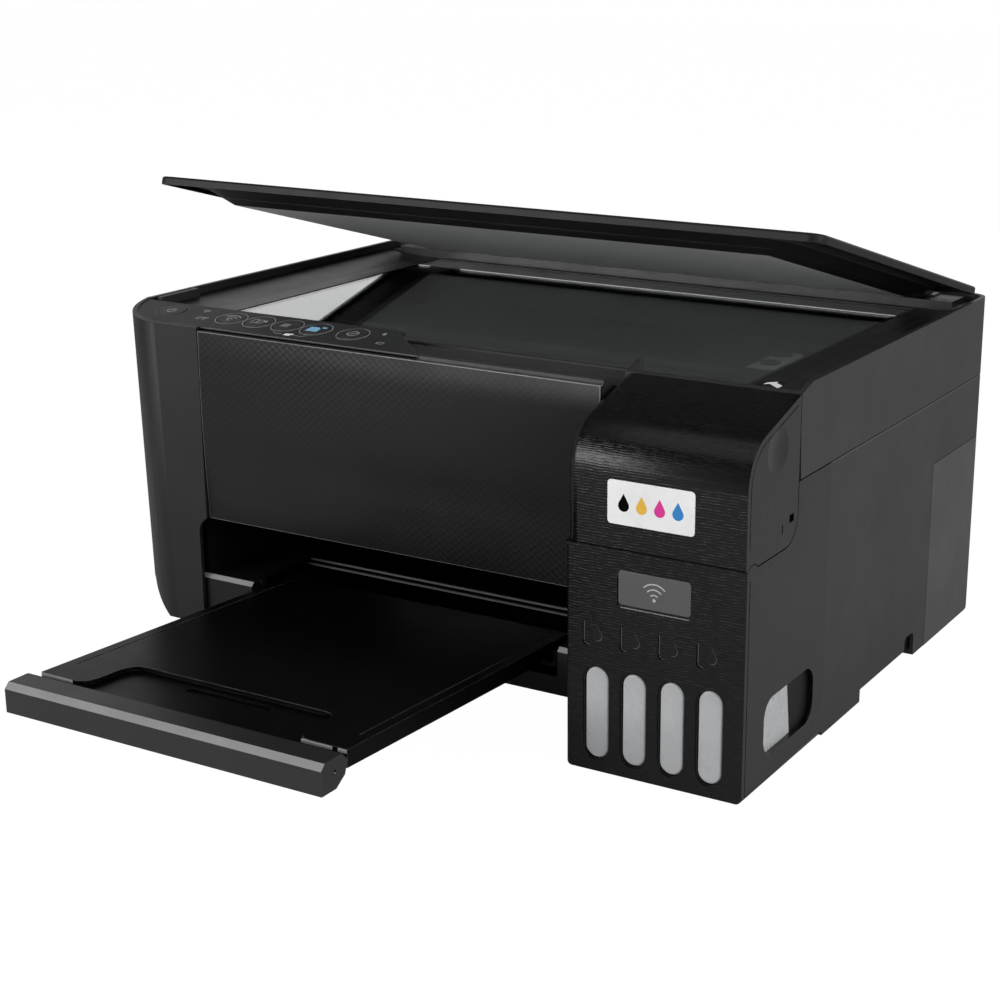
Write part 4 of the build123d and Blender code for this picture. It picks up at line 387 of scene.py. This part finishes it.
def woven_plastic(name, color, side_color, rough, level):
    """Moulded plastic: short wavy ridges in rows on the front and top, with painted highlight and shade on
    them, smooth on the sides.
    """
    m = Mat(name, color, rough, **gloss(level))
    x, y, z = m.xyz()
    run = m.math("ADD", y, z)

    def stretched_noise(across, along):
        place = m.combine(m.math("MULTIPLY", x, across), m.math("MULTIPLY", run, along))
        return m.noise(1.0, 2.0, 0.5, place)

    waves = m.math("MULTIPLY", stretched_noise(150.0, 90.0), 7.0)
    phase = m.math("ADD", m.math("MULTIPLY", run, math.tau / RIPPLE_PITCH), waves)
    rows = m.ramp(m.math("SINE", phase), -0.6, 0.6, 0, 1)
    breaks = m.ramp(stretched_noise(240.0, 700.0), 0.38, 0.6, 0.2, 1.0)
    broken = m.math("MULTIPLY", rows, breaks)
    side = m.faces_side()
    height = m.math("MULTIPLY", broken, m.math("SUBTRACT", 1.0, side))
    # the ridges are lighter and the grooves darker in colour: painted highlight and shade on the real
    # relief
    painted_ridge_shading = m.mix_color(broken, scaled(color, 0.6), scaled(color, 1.6))
    m.link(m.mix_color(side, painted_ridge_shading, side_color), m.shader.inputs["Base Color"])
    m.vary_rough(m.noise(30.0, 4.0), 0.04, 0.05)
    first = m.bump(height, 0.5, 0.00009)
    m.bump(m.noise(1500.0, 2.0), 0.2, 0.00005, first)
    return m.material


def milky(name, color, rough):
    """Translucent tank plastic, cloudy and a little uneven."""
    m = Mat(name, color, rough)
    m.shader.inputs["Subsurface Weight"].default_value = 0.6
    m.shader.inputs["Subsurface Radius"].default_value = (0.01, 0.01, 0.01)
    m.shader.inputs["Subsurface Scale"].default_value = 0.4
    m.wear(0.06, 30.0, 0.04)
    m.bump(m.noise(120.0, 3.0), 0.05, 0.0002)
    return m.material


def metal(name, color, rough):
    """Sheet or turned metal with fine lines along X."""
    m = Mat(name, color, rough, Metallic=1.0)
    m.wear(0.08, 20.0, 0.08)
    x, y, z = m.xyz()
    lines = m.noise(800.0, 2.0, 0.5, m.combine(m.math("MULTIPLY", x, 0.02), y, z))
    m.bump(lines, 0.15, 0.00005)
    return m.material


def pane(name):
    """Clear float glass: mostly a mirror at a low angle, clear from above."""
    m = Mat(name, (0.92, 0.97, 0.95), 0.01)
    m.shader.inputs["Transmission Weight"].default_value = 1.0
    m.shader.inputs["IOR"].default_value = 1.52
    smears = m.ramp(m.noise(14.0, 4.0), 0.4, 0.7, 0.004, 0.02)
    m.link(smears, m.shader.inputs["Roughness"])
    m.bump(m.noise(6.0, 1.0), 0.02, 0.0002)
    return m.material


def ink(name, color, rough=0.5, glow=0.0, level=0.5):
    """Printed mark or coated plate, very slightly uneven; a glow makes it give off painted light."""
    m = Mat(name, color, rough, **gloss(level))
    m.wear(0.05, 60.0, 0.03)
    m.bump(m.noise(900.0, 2.0), 0.1, 0.00003)
    # glow: the mark gives off light of its own colour, painted light
    if glow:
        m.shader.inputs["Emission Color"].default_value = (*color, 1)
        m.shader.inputs["Emission Strength"].default_value = glow
    return m.material


LOOKS = {
    "case": plastic("case_black", (0.0125, 0.0125, 0.0135), 0.40, level=0.28),
    "side": plastic("side_black", (0.026, 0.026, 0.028), 0.50, level=0.5),
    "rear_side": plastic("rear_side_black", (0.060, 0.060, 0.062), 0.52, level=0.5),
    "front": diamond_plastic("front_black", (0.008, 0.008, 0.009), 0.42, 0.22),
    "woven": woven_plastic("woven_black", (0.0045, 0.0045, 0.005), (0.019, 0.019, 0.020), 0.27, 0.3),
    "panel": plastic("panel_grey", (0.032, 0.033, 0.035), 0.55, depth=0.2, level=0.3),
    "key": plastic("key_grey", (0.035, 0.036, 0.038), 0.5, depth=0.2, level=0.3),
    "inner": plastic("inner_black", (0.005, 0.005, 0.0055), 0.45, level=0.25),
    "shelf": plastic("frame_black", (0.012, 0.012, 0.013), 0.40, level=0.35),
    "tray": plastic("tray_black", (0.0025, 0.0025, 0.003), 0.34, depth=0.15, level=0.06),
    "lip": plastic("lip_black", (0.018, 0.018, 0.019), 0.42, level=0.4),
    "lid": plastic("lid_black", (0.010, 0.010, 0.011), 0.46, level=0.2),
    "pad": plastic("pad_grey", (0.62, 0.62, 0.63), 0.45, grain=500.0, depth=0.1, wear=0.04, level=0.4),
    "rubber": plastic("rubber_black", (0.012, 0.012, 0.012), 0.8, depth=0.5, level=0.3),
    "strip": plastic("strip_black", (0.030, 0.030, 0.032), 0.30, level=0.85),
    "tank": milky("tank_milky", (0.50, 0.51, 0.52), 0.28),
    "cap": plastic("cap_black", (0.015, 0.015, 0.015), 0.5, level=0.4),
    "steel": metal("sheet_steel", (0.55, 0.56, 0.58), 0.32),
    "gear": plastic("gear_white", (0.70, 0.70, 0.66), 0.42, depth=0.15),
    "roller": plastic("roller_grey", (0.07, 0.07, 0.072), 0.7, depth=0.5),
    "board": plastic("board_green", (0.015, 0.10, 0.045), 0.4, depth=0.15),
    "tube": milky("tube_clear", (0.6, 0.62, 0.65), 0.3),
    "glass": pane("float_glass"),
    # edge looks: lighter colours that paint highlights on rounded edges and beside marks
    "edge": plastic("edge_painted_highlight", (0.055, 0.055, 0.058), 0.30, depth=0.1),
    "painted_bright_edge_highlight": plastic("edge_painted_bright_highlight", (0.20, 0.20, 0.205), 0.28, depth=0.1),
    # chamfer look: light grey that paints the highlight on forward-sloping faces
    "chamfer": plastic("chamfer_painted_highlight", (0.30, 0.30, 0.305), 0.34, depth=0.1),
    "mark": ink("mark_pale", (0.42, 0.42, 0.42)),
    "mark_dim": ink("mark_dim", (0.085, 0.085, 0.087)),
    "mark_dark": ink("mark_dark", (0.003, 0.003, 0.003), 0.9, level=0.02),
    "mark_white_painted_glow": ink("mark_white_painted_glow", (0.92, 0.92, 0.92), 0.5, 0.2),
    "mark_blue_painted_glow": ink("mark_blue_painted_glow", (0.23, 0.50, 0.70), 0.4, 0.15),
    "plate_white": ink("plate_white", (0.90, 0.90, 0.91), 0.35),
    "plate_grey": ink("plate_grey", (0.085, 0.085, 0.087), 0.4),
    "plate_light": ink("plate_light", (0.65, 0.65, 0.66), 0.4),
    "dot_magenta": ink("dot_magenta", (0.72, 0.02, 0.28), 0.4),
    "dot_yellow": ink("dot_yellow", (0.85, 0.50, 0.04), 0.4),
    "dot_cyan": ink("dot_cyan", (0.01, 0.22, 0.58), 0.4),
}

NODE_LOOK = {
    "base_case": "inner", "rubber_feet": "rubber", "left_corner_cover": "case", "left_side_cover": "side",
    "right_side_cover": "side", "right_rear_cover": "rear_side", "rear_cover": "inner",
    "front_panel": "front", "front_strip": "strip", "control_panel": "panel", "tank_housing": "woven",
    "tank_cover": "woven", "ink_tubes": "tube", "scanner_case": "side", "scanner_top_frame": "shelf",
    "scan_glass": "glass", "scan_sensor_bar": "inner", "scan_pulley": "gear", "document_cover": "lid",
    "document_pad": "pad", "output_tray": "tray", "tray_extension": "tray", "mech_frame": "steel",
    "platen": "inner", "star_wheel_holder": "inner", "star_wheels": "steel", "feed_roller": "roller",
    "eject_roller": "roller", "pinch_rollers": "gear", "idler_gear": "gear", "feed_pinion": "gear",
    "drive_motors": "steel", "capping_station": "panel", "print_carriage": "inner", "print_head": "steel",
    "carriage_belt": "rubber", "drive_pulley": "gear", "idler_pulley": "gear", "feeder_housing": "case",
    "edge_guide": "panel", "paper_support": "case", "feeder_guard": "case", "hopper_plate": "panel",
    "pickup_roller": "roller", "power_supply": "inner", "main_board": "board",
}


def node_look(node):
    """Look of a node: its own, or the one of all tanks, caps or keys."""
    if node in NODE_LOOK:
        return NODE_LOOK[node]
    if node.startswith("ink_tank"):
        return "tank"
    if node.startswith("tank_cap"):
        return "cap"
    return "key"


# width of the rounded edges in mm, and the look of the rounding; the lighter edge looks are painted
# highlights
EDGES = {
    "front_panel": (0.45, "painted_bright_edge_highlight"), "output_tray": (0.4, "painted_bright_edge_highlight"),
    "tray_extension": (0.35, "painted_bright_edge_highlight"), "document_pad": (0.35, "painted_bright_edge_highlight"),
    "left_corner_cover": (0.4, "edge"), "left_side_cover": (0.4, "edge"),
    "right_side_cover": (0.35, "edge"), "right_rear_cover": (0.35, "edge"),
    "scanner_case": (0.4, "edge"), "tank_housing": (0.4, "edge"), "tank_cover": (0.4, "edge"),
    "control_panel": (0.3, "edge"), "front_strip": (0.35, "edge"), "document_cover": (0.35, "edge"),
    "feeder_housing": (0.4, "edge"), "rear_cover": (0.4, "edge"), "feeder_guard": (0.3, "edge"),
    "base_case": (0.3, "inner"), "scanner_top_frame": (0.3, "shelf"), "scan_glass": (0.2, "glass"),
}
# nodes whose faces that slope forward at 45 degrees get a much lighter colour, a painted highlight
CHAMFERED = ("tray_extension", "base_case")
SHARP = math.radians(38)  # edges under this angle stay as they are
WELD_GAP = 2e-6  # metres


def slopes_forward(normal):
    """True where a face looks up and to the front at 45 degrees."""
    return abs(normal.x) < 0.1 and abs(normal.y - normal.z + math.sqrt(2)) < 0.06


def round_edges(obj, width):
    """Rounds a node's sharp edges by width mm, in the look of its second material, for most nodes a lighter
    painted highlight.
    """
    rounding = obj.modifiers.new("edge", "BEVEL")
    rounding.width = width * MM
    rounding.segments = 2
    rounding.limit_method = "ANGLE"
    rounding.angle_limit = SHARP
    rounding.use_clamp_overlap = True
    rounding.harden_normals = True
    rounding.material = 1


def dress_node(name, obj):
    """Gives a node its looks: its own first, then its edges', then those of single faces."""
    mesh = obj.data
    looks = [node_look(name)]
    index = [0] * len(mesh.polygons)
    if name in EDGES:
        looks.append(EDGES[name][1])
    if name in CHAMFERED:
        looks.append("chamfer")
        index = [2 if slopes_forward(face.normal) else 0 for face in mesh.polygons]
    if name == "tray_extension":
        looks.append("lip")
        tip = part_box("output_tray")[0].y
        index = [3 if i == 0 and face.center.y < tip else i for i, face in zip(index, mesh.polygons)]
    if name == "document_pad":
        looks.append("lid")
        index = [2 if abs(face.normal.z) < 0.95 else 0 for face in mesh.polygons]
    mesh.materials.clear()
    for look in looks:
        mesh.materials.append(LOOKS[look])
    mesh.polygons.foreach_set("material_index", index)
    weld = obj.modifiers.new("weld", "WELD")
    weld.merge_threshold = WELD_GAP
    if name in EDGES:
        round_edges(obj, EDGES[name][0])


for node_name, node_object in NODES.items():
    dress_node(node_name, node_object)


# ---------------------------------------------------------------- places, in mm unless they say metres
FRONT_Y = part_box("tank_housing")[0].y  # metres
RIGHT_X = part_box("tank_housing")[1].x / MM
TANK_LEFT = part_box("tank_housing")[0].x / MM
COVER_PROUD = (FRONT_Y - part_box("tank_cover")[0].y) / MM
KEYS = ["power", "network", "status", "mono_copy", "color_copy", "stop"]
KEY_Y = 49.0
KEY_PROUD = 0.3
RING_R = 8.2
RING_STEPS = 64
MARK_SUNK = 0.04
MARK_PROUD = 0.05
FINE = 0.35  # width of the fine lines beside the keys


def middle_x(node):
    low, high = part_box(node)
    return (low.x + high.x) / 2 / MM


KEY_X = {key: middle_x(f"{key}_button") for key in KEYS}


def row_y(y):
    """Y in metres of a distance behind the tank unit's front face."""
    return FRONT_Y + y * MM


def plane_back_from(edge, up):
    """Plane through an edge along X; its drawing Y counts from the tank unit's front."""
    start = edge - up * ((edge.y - FRONT_Y) / up.y)
    return Plane(start, (1, 0, 0), up)


def deck_plane():
    """The control panel's upper face."""
    press = Vector(JOINTS["power_press"]["axis"])
    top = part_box("control_panel")[1]
    return plane_back_from(Vector((0, top.y, top.z)), Vector((0, -press.z, press.y)))


def tray_plane():
    """The tray's upper face; the tray slides along it."""
    slide = Vector(JOINTS["tray_slide"]["axis"])
    low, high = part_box("output_tray")
    return plane_back_from(Vector((0, low.y, high.z)), -slide if slide.y < 0 else slide)


FACE = Plane((0, FRONT_Y, 0), (1, 0, 0), (0, 0, 1))
SIDE = Plane((RIGHT_X * MM, FRONT_Y, 0), (0, 1, 0), (0, 0, 1))
DECK = deck_plane()
TRAY = tray_plane()


def level_plane(x, y, z):
    """Level plane about a point; x, and y behind the tank unit's front, in mm, z in metres."""
    return Plane((x * MM, row_y(y), z), (1, 0, 0), (0, 1, 0))


def top_of(node, x, y):
    """Height in metres of the uppermost face of a node at x, y in mm."""
    bpy.context.view_layer.update()
    hit, point = NODES[node].ray_cast((x * MM, row_y(y), 1.0), (0, 0, -1))[:2]
    return point.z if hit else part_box(node)[1].z


# ---------------------------------------------------------------- printed marks on the control panel
def deck_mark(name, outlines, look, body="chassis", base=0.0):
    slab(name, DECK, outlines, base - MARK_SUNK, base + MARK_PROUD, body, look)


def key_rings():
    rings = []
    for key in KEYS[1:]:
        rings += arc(KEY_X[key], KEY_Y, RING_R, 0.32, steps=RING_STEPS)
    deck_mark("key_rings", rings, "mark")
    deck_mark("power_ring", arc(KEY_X["power"], KEY_Y, RING_R, 0.3, steps=RING_STEPS), "mark_dim")


def power_sign(x):
    """Open ring with a bar in its gap."""
    return arc(x, KEY_Y, 2.2, 0.5, -235, 55) + stroke([(x, KEY_Y + 0.3), (x, KEY_Y + 2.7)], 0.5)


def network_sign(x):
    return fan(x, KEY_Y, 7.4, 0.45)


def status_sign(x):
    """Two sheets and a drop."""
    sheets = sheet_mark(x - 2.2, KEY_Y, 3.0, 4.6, 0.4) + sheet_mark(x + 1.0, KEY_Y, 2.6, 4.6, 0.4)
    return sheets + drop(x + 3.6, KEY_Y + 1.2, 2.6)


def mono_sign(x):
    """Filled sheet with a small ring at its corner."""
    return filled_sheet(x - 0.6, KEY_Y - 0.6, 5.6, 5.6) + arc(x + 3.4, KEY_Y + 2.6, 1.2, 0.4)


def mono_lines(x):
    """Three lines on the filled sheet."""
    lines = []
    for y in (0.9, -0.4, -1.7):
        lines += stroke([(x - 2.6, KEY_Y + y), (x + 1.2, KEY_Y + y)], 0.4)
    return lines


def color_sign(x):
    """Filled sheet with a small block at its corner."""
    sheet = filled_sheet(x - 0.8, KEY_Y - 0.8, 6.6, 5.8)
    return sheet + rounded_rect(x + 3.6, KEY_Y + 2.4, 2.6, 1.6, 0.5)


def stop_sign(x):
    """Ring with a slanting bar."""
    return arc(x, KEY_Y, 2.9, 0.45) + stroke([(x - 1.9, KEY_Y - 1.9), (x + 1.9, KEY_Y + 1.9)], 0.45)


def key_sign(name, key, draw, look, base=KEY_PROUD):
    """Sign that rides on its key."""
    deck_mark(name, draw(KEY_X[key]), look, f"{key}_key", base)


def key_signs():
    key_sign("power_sign", "power", power_sign, "mark")
    key_sign("network_sign", "network", network_sign, "mark")
    key_sign("status_sign", "status", status_sign, "mark")
    key_sign("mono_sign", "mono_copy", mono_sign, "mark_dim")
    key_sign("mono_lines", "mono_copy", mono_lines, "mark", KEY_PROUD + MARK_PROUD)
    key_sign("color_sign", "color_copy", color_sign, "mark_blue_painted_glow")
    key_sign("stop_sign", "stop", stop_sign, "mark")


def deck_gap():
    """Dark gap in front of the control panel: round at the left corner, then straight along X."""
    cx = -155.1
    cy = 62.7
    r = 29.55
    right_end = 1.2
    low = 168.55
    high = 169.4
    path = [around(cx, cy, r, a) for a in range(188, 271, 6)] + [(right_end, cy - r)]
    table = level_plane(0, 0, 0)
    slab("deck_gap", table, stroke(path, 0.34), low, high, "chassis", "mark_dark")


def small_marks():
    """Small marks beside the keys, and the line that joins the two copy keys to a pair of sheets."""
    left = KEY_X["power"] + 18.5
    marks = fan(left, KEY_Y + 5.0, 3.4, FINE)
    marks += sheet_mark(left + 3.0, KEY_Y - 4.6, 2.2, 2.8, 0.3)
    marks += fan(left + 6.4, KEY_Y - 4.4, 3.2, FINE)
    right = KEY_X["stop"] + 15.0
    marks += drop(right, KEY_Y + 5.2, 3.0)
    marks += frame_rect(right + 5.4, KEY_Y - 6.6, 3.4, 2.4, FINE)
    mono = KEY_X["mono_copy"]
    color = KEY_X["color_copy"]
    middle = (mono + color) / 2
    low = KEY_Y - 11.0
    rise = 1.4
    room = 3.6
    marks += stroke([(mono - 1, low + rise), (mono + 0.4, low), (middle - room, low)], FINE)
    marks += stroke([(middle + room, low), (color - 0.4, low), (color + 1, low + rise)], FINE)
    deck_mark("small_marks", marks, "mark")
    sheets = rounded_rect(middle - 0.4, low, 3.6, 2.4, 0.3)
    sheets += rounded_rect(middle + 1.6, low + 0.9, 2.0, 1.4, 0.3)
    deck_mark("sheet_pair", sheets, "mark_white_painted_glow")


# ---------------------------------------------------------------- tank unit
TANK_PITCH = 18.5
FIRST_WINDOW = TANK_LEFT + 15.0
WINDOW_X = [FIRST_WINDOW + TANK_PITCH * i for i in range(4)]
UNIT_MID = (TANK_LEFT + RIGHT_X) / 2
LABEL_INKS = ("mark_dark", "dot_yellow", "dot_magenta", "dot_cyan")
BADGE_X = UNIT_MID + 0.1
BADGE_Z = 89.4
SUNK = 0.1  # how deep a mark's foot is in the plastic


def cover_label():
    """White label on the tank cover, with a drop for each ink."""
    x = UNIT_MID - 1.5
    z = 127.7
    drop_pitch = 8.6
    plate = rounded_rect(x, z, 41.5, 19.5, 1.8)
    low = COVER_PROUD - 0.3
    high = COVER_PROUD + 0.35
    slab("ink_label", FACE, plate, low, high, "tank_lid", "plate_white", 0.15)
    for i, look in enumerate(LABEL_INKS):
        mark = drop(x + drop_pitch * (i - 1.5), z - 0.2, 7.2)
        name = f"label_drop_{i + 1}"
        slab(name, FACE, mark, high - 0.05, high + 0.07, "tank_lid", look)


def badge():
    """Grey plate in the badge recess, bare but for a wireless sign, and a painted highlight along its sill.
    """
    plate = rounded_rect(BADGE_X, BADGE_Z, 34.8, 15.4, 1.6)
    slab("badge_plate", FACE, plate, -0.75, 0.25, "chassis", "plate_grey", 0.15)
    sign = fan(BADGE_X, BADGE_Z + 0.2, 8.0, 0.65)
    slab("badge_sign", FACE, sign, 0.2, 0.32, "chassis", "mark")
    # bright strip under the plate: a painted highlight on the sill
    sill_highlight = rounded_rect(BADGE_X + 0.1, BADGE_Z - 9.0, 33.0, 0.45, 0.2)
    slab("badge_sill_highlight", FACE, sill_highlight, -SUNK, 0.15, "chassis", "painted_bright_edge_highlight")


def cover_seam():
    """Dark line along the foot of the tank cover."""
    z = 106.75
    inset = 0.6
    line = stroke([(TANK_LEFT + inset, z), (RIGHT_X - inset, z)], 0.6)
    low = COVER_PROUD - SUNK
    high = COVER_PROUD + 0.02
    slab("seam_shadow", FACE, line, low, high, "tank_lid", "mark_dark")


def tank_icons():
    """Hook and drop beside each ink window; a lighter copy of each, shifted to one side, paints a highlight
    on its rim.
    """
    hooks = []
    drops = []
    for x in WINDOW_X:
        hooks += stroke([(x - 6.4, 70.4), (x - 6.4, 61.4), (x - 5.8, 60.4), (x - 4.2, 60.0)], 0.55)
        drops += drop(x + 0.4, 66.0, 6.4)
    # lighter shifted copies under the marks: painted highlights
    highlight_height = 0.11
    hook_highlights = shifted(hooks, 0.5, 0.35)
    slab("tank_hooks_painted_highlight", FACE, hook_highlights, -SUNK, highlight_height, "chassis", "edge")
    slab("tank_hooks", FACE, hooks, -SUNK, 0.16, "chassis", "mark_dark")
    drop_highlights = shifted(drops, 0.35, -0.3)
    slab("tank_drops_painted_highlight", FACE, drop_highlights, -SUNK, highlight_height, "chassis", "edge")
    slab("tank_drops", FACE, drops, -SUNK, 0.2, "chassis", "inner", 0.12)


def side_trim():
    """Painted shade in the side window, a dark sheet set inside it, and the slit of the cover's latch."""
    # dark sheet inside the side window: painted shade
    ground = [(55.0, 11.5), (73.0, 11.5), (78.5, 20.0), (78.5, 36.0), (73.0, 43.5), (50.0, 43.5)]
    depth = 2.6
    slab("window_painted_shade", SIDE, [ground], -depth - 0.8, -depth, "chassis", "inner")
    slit = rounded_rect(33.8, 115.6, 1.0, 4.4, 0.3)
    slab("latch_slit", SIDE, slit, -SUNK, 0.006, "tank_lid", "mark_dark")


# ---------------------------------------------------------------- scanner bed
def corner_sign():
    """Dark pad with cut corners on the scanner's frame; its arrow shows where a page's corner goes."""
    x = 166.0
    y = 71.0
    ground = level_plane(x, y, top_of("scanner_top_frame", x, y))
    pad = cut_rect(17, 14, 2.5, 3.4)
    slab("corner_pad", ground, pad, -0.2, 0.15, "scanner_unit", "inner", 0.1)
    head = [(-3.6, 0.6), (-5.6, -1.6), (-5.6, 2.2), (-1.6, 6.0), (-1.6, 3.5)]
    shaft = [(5.6, -2.6), (5.6, -5.6), (3.2, -5.6)]
    slab("corner_arrow", ground, [head + shaft], 0.12, 0.2, "scanner_unit", "mark_white_painted_glow")


def sensor_bracket():
    """Pale plate under the glass with two grey rings on it."""
    under = level_plane(0, 0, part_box("scan_pulley")[0].z - 0.002)
    plate = rounded_rect(101, 213, 15, 48, 5)
    slab("bracket_plate", under, plate, -0.9, 0, "scanner_unit", "plate_light", 0.2)
    rings = []
    for x, y in ((98, 229), (101, 208)):
        rings += arc(x, y, 4.0, 3.2, steps=36)
    slab("bracket_rings", under, rings, -SUNK, 0.8, "scanner_unit", "plate_grey")


# ---------------------------------------------------------------- tray and paper exit
def tray_trim():
    """Floor of the extension's finger slot, and painted highlights on the tips of the tray's front edge."""
    floor = rounded_rect(-15.0, -90.5, 50.0, 9.0, 1.5)
    floor_top = -4.42
    floor_foot = -5.3
    slab("slot_floor", TRAY, floor, floor_foot, floor_top, "extension_body", "inner", 0.2)
    low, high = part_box("output_tray")
    tip = low.y
    top = high.z - 0.0001
    foot = top - 0.0016
    profile = [(tip - 0.0002, foot), (tip - 0.0002, top - 0.0005), (tip + 0.0005, top), (tip + 0.001, foot)]
    # thin light strips on the tips of the front edge: painted highlights
    spans = {"left_tip_highlight": (low.x / MM + 3, -82.5), "right_tip_highlight": (43.0, 58.5), "right_corner_highlight": (61.5, 65.6)}
    for name, (x0, x1) in spans.items():
        beam(name, profile, x0 * MM, x1 * MM, "tray_body", "chamfer")


def guide_bar(name, y, z):
    """Thin bar along X with a slanting front, in metres."""
    left = -0.1055
    right = 0.0755
    top = z + 0.0009
    back = y + 0.0022
    profile = [(y, z), (back, z), (back, top), (y + 0.0004, top)]
    beam(name, profile, left, right, "chassis", "inner")


def exit_guides():
    """Two thin bars across the exit behind the tray, the front one with a painted highlight along its edge
    in two stretches.
    """
    y = row_y(80.0)
    z = 0.0372
    guide_bar("exit_guide_1", y, z)
    foot = z + 0.0006
    top = z + 0.001
    # light strip on the front bar's edge: a painted highlight
    painted_shine = [(y - 0.0001, foot), (y + 0.0002, top), (y + 0.0008, top), (y + 0.0008, foot)]
    stretches = ((-0.0925, -0.0885), (-0.083, 0.054))
    for i, (x0, x1) in enumerate(stretches):
        beam(f"exit_edge_highlight_{i + 1}", painted_shine, x0, x1, "chassis", "edge")
    guide_bar("exit_guide_2", y + 0.0035, z + 0.0014)


key_rings()
key_signs()
deck_gap()
small_marks()
cover_label()
badge()
cover_seam()
tank_icons()
side_trim()
corner_sign()
sensor_bracket()
tray_trim()
exit_guides()


# ---------------------------------------------------------------- camera, floor and light
def aim_camera():
    """Camera fitted to the photograph; angles in radians, place in metres."""
    yaw = -0.5134
    pitch = 0.2918
    roll = 0.0051
    place = (0.504976, -0.79361, 0.363775)
    forward = Vector((math.sin(yaw) * math.cos(pitch), math.cos(yaw) * math.cos(pitch), -math.sin(pitch)))
    right = Vector((math.cos(yaw), -math.sin(yaw), 0))
    up = right.cross(forward)
    rolled_right = math.cos(roll) * right + math.sin(roll) * up
    rolled_up = -math.sin(roll) * right + math.cos(roll) * up
    data = bpy.data.cameras.new("camera")
    data.lens = 69.68
    data.sensor_width = 36
    data.shift_x = -0.1
    data.clip_start = 0.01
    data.clip_end = 50
    camera = add_object("camera", data)
    turn = Matrix((rolled_right, rolled_up, -forward)).transposed().to_4x4()
    camera.matrix_world = Matrix.Translation(place) @ turn
    bpy.context.scene.camera = camera


def pale_floor():
    """Pale ground that the camera sees as nearly plain white, with faint shadows."""
    half = 6
    corners = [(-half, -half, 0), (half, -half, 0), (half, half, 0), (-half, half, 0)]
    mesh = bpy.data.meshes.new("floor")
    mesh.from_pydata(corners, [], [(0, 1, 2, 3)])
    floor = add_object("floor", mesh)
    m = Mat("floor_pale", (0.72, 0.72, 0.72), 0.9)
    glow = m.node("ShaderNodeEmission")
    glow.inputs["Color"].default_value = (1, 1, 1, 1)
    glow.inputs["Strength"].default_value = 1.06
    path = m.node("ShaderNodeLightPath")
    mix = m.node("ShaderNodeMixShader")
    m.link(m.math("MULTIPLY", path.outputs["Is Camera Ray"], 0.93), mix.inputs[0])
    m.link(m.shader.outputs[0], mix.inputs[1])
    m.link(glow.outputs[0], mix.inputs[2])
    m.link(mix.outputs[0], m.tree.nodes["Material Output"].inputs["Surface"])
    mesh.materials.append(m.material)
    floor.location.z = -0.0002


def studio_world():
    """White background for the camera; a pale band low behind the object and a dim room elsewhere."""
    world = bpy.data.worlds.new("studio")
    bpy.context.scene.world = world
    world.use_nodes = True
    tree = world.node_tree
    tree.nodes.clear()
    out = tree.nodes.new("ShaderNodeOutputWorld")
    path = tree.nodes.new("ShaderNodeLightPath")
    seen = tree.nodes.new("ShaderNodeBackground")
    room = tree.nodes.new("ShaderNodeBackground")
    for ground in (seen, room):
        ground.inputs["Color"].default_value = (1, 1, 1, 1)
    split = tree.nodes.new("ShaderNodeSeparateXYZ")
    tree.links.new(tree.nodes.new("ShaderNodeTexCoord").outputs["Generated"], split.inputs[0])

    def span(value, low, high, start, end):
        node = tree.nodes.new("ShaderNodeMapRange")
        node.inputs["From Min"].default_value = low
        node.inputs["From Max"].default_value = high
        node.inputs["To Min"].default_value = start
        node.inputs["To Max"].default_value = end
        tree.links.new(value, node.inputs["Value"])
        return node.outputs[0]

    def both(operation, first, second):
        node = tree.nodes.new("ShaderNodeMath")
        node.operation = operation
        tree.links.new(first, node.inputs[0])
        tree.links.new(second, node.inputs[1])
        return node.outputs[0]

    behind = span(split.outputs["Y"], -0.2, 0.75, 0.20, 1.0)
    near_ground = span(split.outputs["Z"], 0.30, 0.62, 1.0, 0.10)
    tree.links.new(both("MULTIPLY", behind, near_ground), room.inputs["Strength"])
    mix = tree.nodes.new("ShaderNodeMixShader")
    white = both("MAXIMUM", path.outputs["Is Camera Ray"], path.outputs["Is Transmission Ray"])
    tree.links.new(white, mix.inputs[0])
    tree.links.new(room.outputs[0], mix.inputs[1])
    tree.links.new(seen.outputs[0], mix.inputs[2])
    tree.links.new(mix.outputs[0], out.inputs["Surface"])


def softbox(name, place, target, size, power):
    """Rectangular lamp that looks at a target; metres and watts."""
    data = bpy.data.lights.new(name, "AREA")
    data.shape = "RECTANGLE"
    data.size, data.size_y = size
    data.energy = power
    lamp = add_object(name, data)
    lamp.location = place
    lamp.rotation_mode = "QUATERNION"
    lamp.rotation_quaternion = (Vector(target) - Vector(place)).to_track_quat("-Z", "Y")
    lamp.visible_camera = False


def lights():
    softbox("right", (2.2, -0.5, 0.9), (0.1, 0.05, 0.1), (1.6, 1.4), 31)
    softbox("top", (0.0, -0.5, 2.0), (0, 0, 0.1), (1.6, 1.2), 6)
    softbox("front_left", (-1.25, -1.95, 0.62), (0.05, -0.05, 0.12), (1.35, 0.85), 33)


aim_camera()
pale_floor()
studio_world()
lights()
bpy.context.scene.view_settings.view_transform = "Standard"
